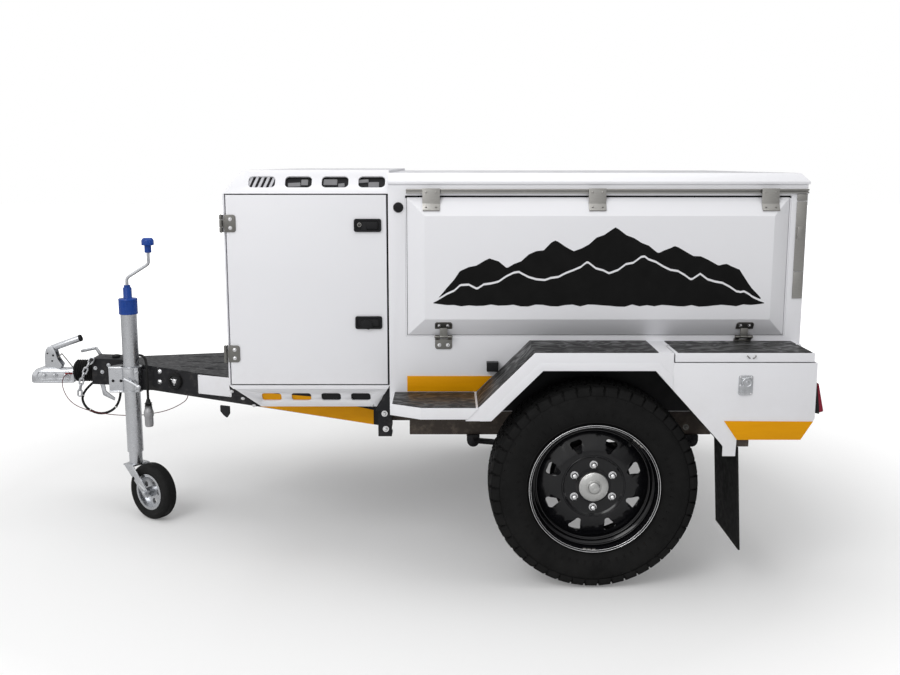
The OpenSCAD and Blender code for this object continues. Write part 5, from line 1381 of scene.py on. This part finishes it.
def coupler():
    """Pressed coupling head, hollow below round its ball cup, with handle, bolts and the brake's pull rod."""

    def arch(x, w, h):
        """Half an oval over the coupler's lower edge, flattened towards a square."""
        points = []
        for k in range(17):
            a = math.pi * k / 16
            c, d = math.cos(a), math.sin(a)
            points.append(Vector((x, w * math.copysign(abs(c) ** 0.55, c), COUPLER_Z - 0.5 + h * d ** 0.6)))
        return points

    bm = bmesh.new()
    # Stations from the nose to the bellows: outer half width and height, inner half width and height
    stations = ((-2105.5, 9, 12, 0.4, 0.4), (-2103, 16, 24, 0.6, 0.6), (-2098, 23, 33, 12, 18),
                (-2089, 29, 41, 24, 35), (-2076, 33, 49, 29, 44), (-2060, 34, 55, 30, 50),
                (-2040, 33, 58, 29, 53), (-2010, 30, 56, 26, 51), (-1984, 27, 50, 23, 45),
                (-1966, 25.5, 50, 21.5, 45), (-1933.5, 26, 55, 22, 50))
    loops = [arch(x, w, h) + arch(x, inner_w, inner_h)[::-1] for x, w, h, inner_w, inner_h in stations]
    strip_loft(bm, loops)
    lathe(bm, [(25.5, 497.2), (29.5, 497.2), (29.5, 522), (27, 534), (20, 545), (10, 550.4), (0, 551.6),
               (0, 546.4), (10, 544.6), (18, 539), (23.6, 531), (25.5, 521)], 48,
          Matrix.Translation((BALL_X, 0, 0)))
    finish(bm, "coupler_head", "zinc", ROOT, ("coupler_body",), crease=50)
    bm = bmesh.new()
    outer, inner = (around(r, range(90, 271, 10), (BALL_X, 0)) for r in (35, 28.6))
    outer += [(-1976, -34), (-1960, -31), (-1934, -30), (-1934, 30), (-1960, 31), (-1976, 34)]
    inner += [(-1976, -22), (-1960, -21), (-1938, -21), (-1938, 21), (-1960, 21), (-1976, 22)]
    collar(bm, outer, inner, COUPLER_Z - 6, COUPLER_Z)
    for side in (-1, 1):
        line = [(-2068, 33.6), (-2040, 34), (-2010, 31), (-1984, 28.4), (-1952, 26.6)]
        for z, inset in ((512, 0), (541, 1.2)):
            sweep(bm, smooth([(x, side * (y - inset), z) for x, y in line], 4), 1.8, 8)
        for x, y, swell in ((-2068, 33.4, -7), (-1952, 26.2, 7)):
            end = [(x, side * y, 512), (x + swell, side * (y - 1), 526), (x, side * (y - 1), 541)]
            sweep(bm, smooth(end, 6), 1.8, 8)
    finish(bm, "coupler_flange", "zinc", ROOT, bevel=0.8, crease=45)
    spots = ((-2046, 33.2), (-2006, 30), (-1966, 26.6))
    places = [((x, s * y, 526), (0, s, 0)) for s in (-1, 1) for x, y in spots]
    bolts("coupler_bolts", places, 7.4, 6, "zinc")
    bm = bmesh.new()
    for y in (-18, 13.5):
        plate = basis((0, y, 0), (1, 0, 0), (0, 0, 1))
        prism(bm, [(-2046, 556), (-1986, 552), (-1980, 566), (-1996, 590), (-2004, 622), (-2014, 640),
                   (-2030, 640), (-2040, 628), (-2046, 600)], -4.5, 0, plate)
    sweep(bm, bent([(-2026, 0, 566), (-2026, 0, 628), (-1906, 0, 671)], 26, 8), 13, 24)
    finish(bm, "coupler_grip", "zinc", ROOT, ("coupler_handle",), 0.8, crease=45)
    bm = bmesh.new()
    m = led_along(Vector((-1906, 0, 671)), Vector((120, 0, 43)).normalized())
    lathe(bm, [(0, -5), (13.8, -5), (14, 1), (12.6, 3), (9.4, 3), (8.6, 0.6), (0, 0.4)], 32, m)
    for y in (-18.3, 18.1):
        for x, z, r in ((-2012, 604, 4.4), (-2017, 582, 3.4), (-2034, 612, 3)):
            bar(bm, (x, y - 0.5, z), (x, y + 0.5, z), r, 20)
    finish(bm, "coupler_dark_parts", "plastic", crease=45)
    bm = bmesh.new()
    bar(bm, (-1977, -19, 612), (-1936, -19, 557), 2.2, 10)
    bar(bm, (-1992, -21, 596), (-1977, -19, 612), 2.2, 10)
    finish(bm, "pull_rod", "dark_steel")
    bm = bmesh.new()
    bar(bm, (-1938, -30.4, 534), (-1944, -37, 535.5), 3.4, 12)
    bar(bm, (-1944, -37, 535.5), (-1960, -43, 537), 2.4, 12)
    finish(bm, "breakaway_clip", "red_clip")
    knob = Matrix.Translation((-1768, -8, 594.6))
    bm = bmesh.new()
    lathe(bm, [(0, 0), (15, 0), (16, 2), (16, 7), (14, 10.4), (8, 12), (0, 12)], 32, knob)
    finish(bm, "shaft_knob", "plastic")
    places = [((x, -50, z), (0, -1, 0)) for x, z in ((-1838, 560), (-1812, 545), (-1786, 572), (-1770, 520))]
    bolts("shaft_bolts", places, 5, 4, "zinc")


def clamp_parts():
    """The stand's clamp: a collar with folded flanges, a plate against the rail, screw and toggle."""
    x0, x1, y0, y1, z0, z1 = STAND.x - 81, STAND.x - 31, -154, -96, 487, 584
    bm = bmesh.new()
    turns = [7.5 * k for k in range(48)]
    sleeve, flange, bore = (around(r, turns) for r in (36.5, 40, STAND_R + 0.3))
    collar(bm, sleeve, bore, z0 + 6, z1 - 6, Matrix.Translation(STAND))
    for low in (z0, z1 - 6):
        collar(bm, flange, bore, low, low + 6, Matrix.Translation(STAND))
    slab(bm, [(x0, z0 + 4), (x0 + 4, z0), (x1 + 4, z0), (x1 + 4, z1), (x0 + 4, z1), (x0, z1 - 4)], y0, y0 + 5)
    for low in (z0, z1 - 6):
        prism(bm, [(x0, y0), (x1 + 6, y0), (x1 + 6, y1), (x0 + 20, y1), (x0, y0 + 20)], low, low + 6)
        sweep(bm, [(x0 + 1, y0 - 1, low + 3), (x1 + 4, y0 - 1, low + 3)], 4, 12)
    ear = [(STAND.x + 20, STAND.y - 34), (STAND.x + 34, STAND.y - 30), (STAND.x + 34, y1), (STAND.x + 20, y1)]
    prism(bm, ear, z0 + 2, z1 - 2)
    finish(bm, "clamp_body", "zinc", ROOT, ("jockey_clamp",), 1.2, crease=40)
    bm = bmesh.new()
    # Black discs on the plate are painted shade in the clamp's holes.
    for x in (x0 + 16, x0 + 46):
        bar(bm, (x, y0 - 0.8, 531), (x, y0 + 0.4, 531), 5.6, 20)
    finish(bm, "clamp_hole_shade", "plastic")
    bm = bmesh.new()
    bar(bm, (STAND.x + 8, STAND.y - 34, 533), (STAND.x + 16, STAND.y - 62, 531), 6, 16)
    grip = [STAND + Vector((x, -62, z)) for x, z in ((-12, 546), (16, 531), (42, 515))]
    sweep(bm, smooth(grip, 6), 5.2, 16)
    tip = led_along(grip[2], Vector((26, 0, -16)))
    lathe(bm, [(0, -8), (6, -8), (8.4, -4), (8.8, 2), (7, 7), (0, 9)], 20, tip)
    finish(bm, "clamp_toggle", "zinc", crease=50)
    places = [((STAND.x + 27, STAND.y - 32, z), (0.2, -1, 0)) for z in (505, 566)]
    bolts("clamp_bolts", places, 6, 5, "zinc")


def jockey_parts():
    """The stand's cap, crank and knob, and the jockey wheel's tyre and axle nuts."""
    top = Matrix.Translation(STAND + Vector((0, 0, STAND_TOP)))
    bm = bmesh.new()
    lathe(bm, [(0, 0.3), (34, 0.3), (35, 1.4), (35, 9), (33.8, 10), (33.8, 52), (35, 53), (35, 57),
               (33.6, 59.4), (17, 61.4), (16, 63), (16, 98), (14.6, 101), (12, 102), (12, 109.6),
               (0, 109.6)], 48, top)
    for k in range(18):
        a = math.radians(20 * k)
        out = Vector((math.cos(a), math.sin(a), 0)) * 33.4
        bar(bm, top @ (out + Vector((0, 0, 11))), top @ (out + Vector((0, 0, 51))), 1.3, 8)
    finish(bm, "stand_cap", "blue", "jockey_tube", ("jockey_cap",), crease=40)
    bm = bmesh.new()
    foot = top @ Vector((0, 0, 110))
    path = [foot + Vector(p) for p in ((0, 0, 0), (0, 0, 27), (85, 0, 80), (85, 0, 124))]
    sweep(bm, bent(path, 11, 8), 6, 20)
    finish(bm, "crank_arm", "zinc", "jockey_tube", ("jockey_crank",), crease=50)
    bm = bmesh.new()
    lathe(bm, [(0, 122), (11.6, 122), (12.6, 123.4), (12.6, 148), (14, 149), (21.4, 150), (22.8, 151.4),
               (22.8, 167), (21.4, 171), (17, 176), (15, 177), (0, 177)], 40,
          Matrix.Translation(foot + Vector((85, 0, 0))))
    finish(bm, "crank_knob", "blue", "jockey_tube", ("jockey_crank",), crease=40)
    wheel = (Matrix.Translation(STAND) @ Matrix.Rotation(JOCKEY_TURN, 4, "Z")
             @ Matrix.Translation((JOCKEY_TRAIL, 0, JOCKEY_R)) @ Matrix.Rotation(math.radians(90), 4, "X"))
    bm = bmesh.new()
    half = [(108, 0), (108, 11), (106.6, 12), (106.6, 14), (107.6, 15), (106.4, 19), (103, 24), (98, 28),
            (92, 29.6), (86, 29), (84, 27.6), (82, 28), (76, 25), (70.4, 22)]
    lathe(bm, half + [(r, -z) for r, z in half[:0:-1]], 96, wheel)
    finish(bm, "jockey_tread", "rubber", "jockey_wheel", ("jockey_tyre",), crease=40)
    hub = facing_z(wheel)
    ends = [(wheel @ Vector((0, 0, s * 42)), hub * s) for s in (-1, 1)]
    bolts("jockey_axle_nuts", ends, 9, 7, "zinc", "jockey_swivel")


# Studio


def studio():
    """The world's light and two lamps, in metres."""
    world = bpy.data.worlds.new("studio")
    bpy.context.scene.world = world
    world.use_nodes = True
    nodes, links = world.node_tree.nodes, world.node_tree.links
    back = nodes["Background"]
    back.inputs["Color"].default_value = (1, 1, 1, 1)
    # White to the camera, softer on matt surfaces, and on shiny ones bright from the upper left
    # and dim from the right
    rays, coords = nodes.new("ShaderNodeLightPath"), nodes.new("ShaderNodeTexCoord")
    facing, shine = nodes.new("ShaderNodeVectorMath"), nodes.new("ShaderNodeMapRange")
    facing.operation = "DOT_PRODUCT"
    facing.inputs[1].default_value = Vector((-0.62, -0.35, 0.70)).normalized()
    shine.interpolation_type = "SMOOTHSTEP"
    for title, value in (("From Min", -0.55), ("From Max", 0.75), ("To Min", 0.05), ("To Max", 1.15)):
        shine.inputs[title].default_value = value
    either, matt, seen = nodes.new("ShaderNodeMath"), nodes.new("ShaderNodeMix"), nodes.new("ShaderNodeMix")
    either.operation = "MAXIMUM"
    matt.inputs["A"].default_value = 0.64
    seen.inputs["B"].default_value = 1.0
    links.new(coords.outputs["Generated"], facing.inputs[0])
    links.new(facing.outputs["Value"], shine.inputs["Value"])
    links.new(rays.outputs["Is Glossy Ray"], either.inputs[0])
    links.new(rays.outputs["Is Transmission Ray"], either.inputs[1])
    links.new(either.outputs[0], matt.inputs["Factor"])
    links.new(shine.outputs["Result"], matt.inputs["B"])
    links.new(rays.outputs["Is Camera Ray"], seen.inputs["Factor"])
    links.new(matt.outputs["Result"], seen.inputs["A"])
    links.new(seen.outputs["Result"], back.inputs["Strength"])
    for name, place, size, power in (("key", (-2.4, -4.6, 4.4), 3.0, 120), ("top", (0.4, 0.4, 4.6), 4.0, 80)):
        data = bpy.data.lights.new(name, "AREA")
        data.size = size
        data.energy = power
        lamp = bpy.data.objects.new(name, data)
        lamp.location = place
        lamp.rotation_euler = (Vector((0.2, 0, 0.6)) - Vector(place)).to_track_quat("-Z", "Y").to_euler()
        bpy.context.scene.collection.objects.link(lamp)
    bpy.context.scene.view_settings.view_transform = "Standard"


def studio_floor():
    """A pale floor that takes the shadows near the part and glows white towards the distance."""
    mesh = bpy.data.meshes.new("studio_floor")
    reach = 30
    mesh.from_pydata([(-reach, -reach, 0), (reach, -reach, 0), (reach, reach, 0), (-reach, reach, 0)], [],
                     [(0, 1, 2, 3)])
    floor = bpy.data.objects.new("studio_floor", mesh)
    bpy.context.scene.collection.objects.link(floor)
    mat = bpy.data.materials.new("studio_floor")
    mat.use_nodes = True
    nodes, links = mat.node_tree.nodes, mat.node_tree.links
    nodes.remove(nodes["Principled BSDF"])
    diffuse, glow, both = (nodes.new("ShaderNodeBsdfDiffuse"), nodes.new("ShaderNodeEmission"),
                           nodes.new("ShaderNodeAddShader"))
    diffuse.inputs["Color"].default_value = (0.74, 0.74, 0.74, 1)
    coords, length, far = (nodes.new("ShaderNodeTexCoord"), nodes.new("ShaderNodeVectorMath"),
                           nodes.new("ShaderNodeMapRange"))
    length.operation = "LENGTH"
    for title, value in (("From Min", 1.6), ("From Max", 5.0), ("To Min", 0.16), ("To Max", 1.0)):
        far.inputs[title].default_value = value
    rays, seen = nodes.new("ShaderNodeLightPath"), nodes.new("ShaderNodeMath")
    seen.operation = "MULTIPLY"
    links.new(coords.outputs["Object"], length.inputs[0])
    links.new(length.outputs["Value"], far.inputs["Value"])
    links.new(far.outputs["Result"], seen.inputs[0])
    links.new(rays.outputs["Is Camera Ray"], seen.inputs[1])
    links.new(seen.outputs[0], glow.inputs["Strength"])
    links.new(diffuse.outputs[0], both.inputs[0])
    links.new(glow.outputs[0], both.inputs[1])
    links.new(both.outputs[0], nodes["Material Output"].inputs["Surface"])
    mesh.materials.append(mat)


camera()
cables()
panels()
for side_name, side in SIDES.items():
    door_seals(side_name, side)
    nose_door_fittings(side_name, side)
    side_door_fittings(side_name, side)
    locker_parts(side_name, side)
    ridge(side_name, side)
    tyre_parts(side_name, side)
    rim_parts(side_name, side)
    hub_parts(side_name, side)
    valance_parts(side_name, side)
    arch_parts(side_name, side)
rear_door_parts()
drawbar_parts()
hitch_parts()
clamp_parts()
jockey_parts()
studio()
studio_floor()
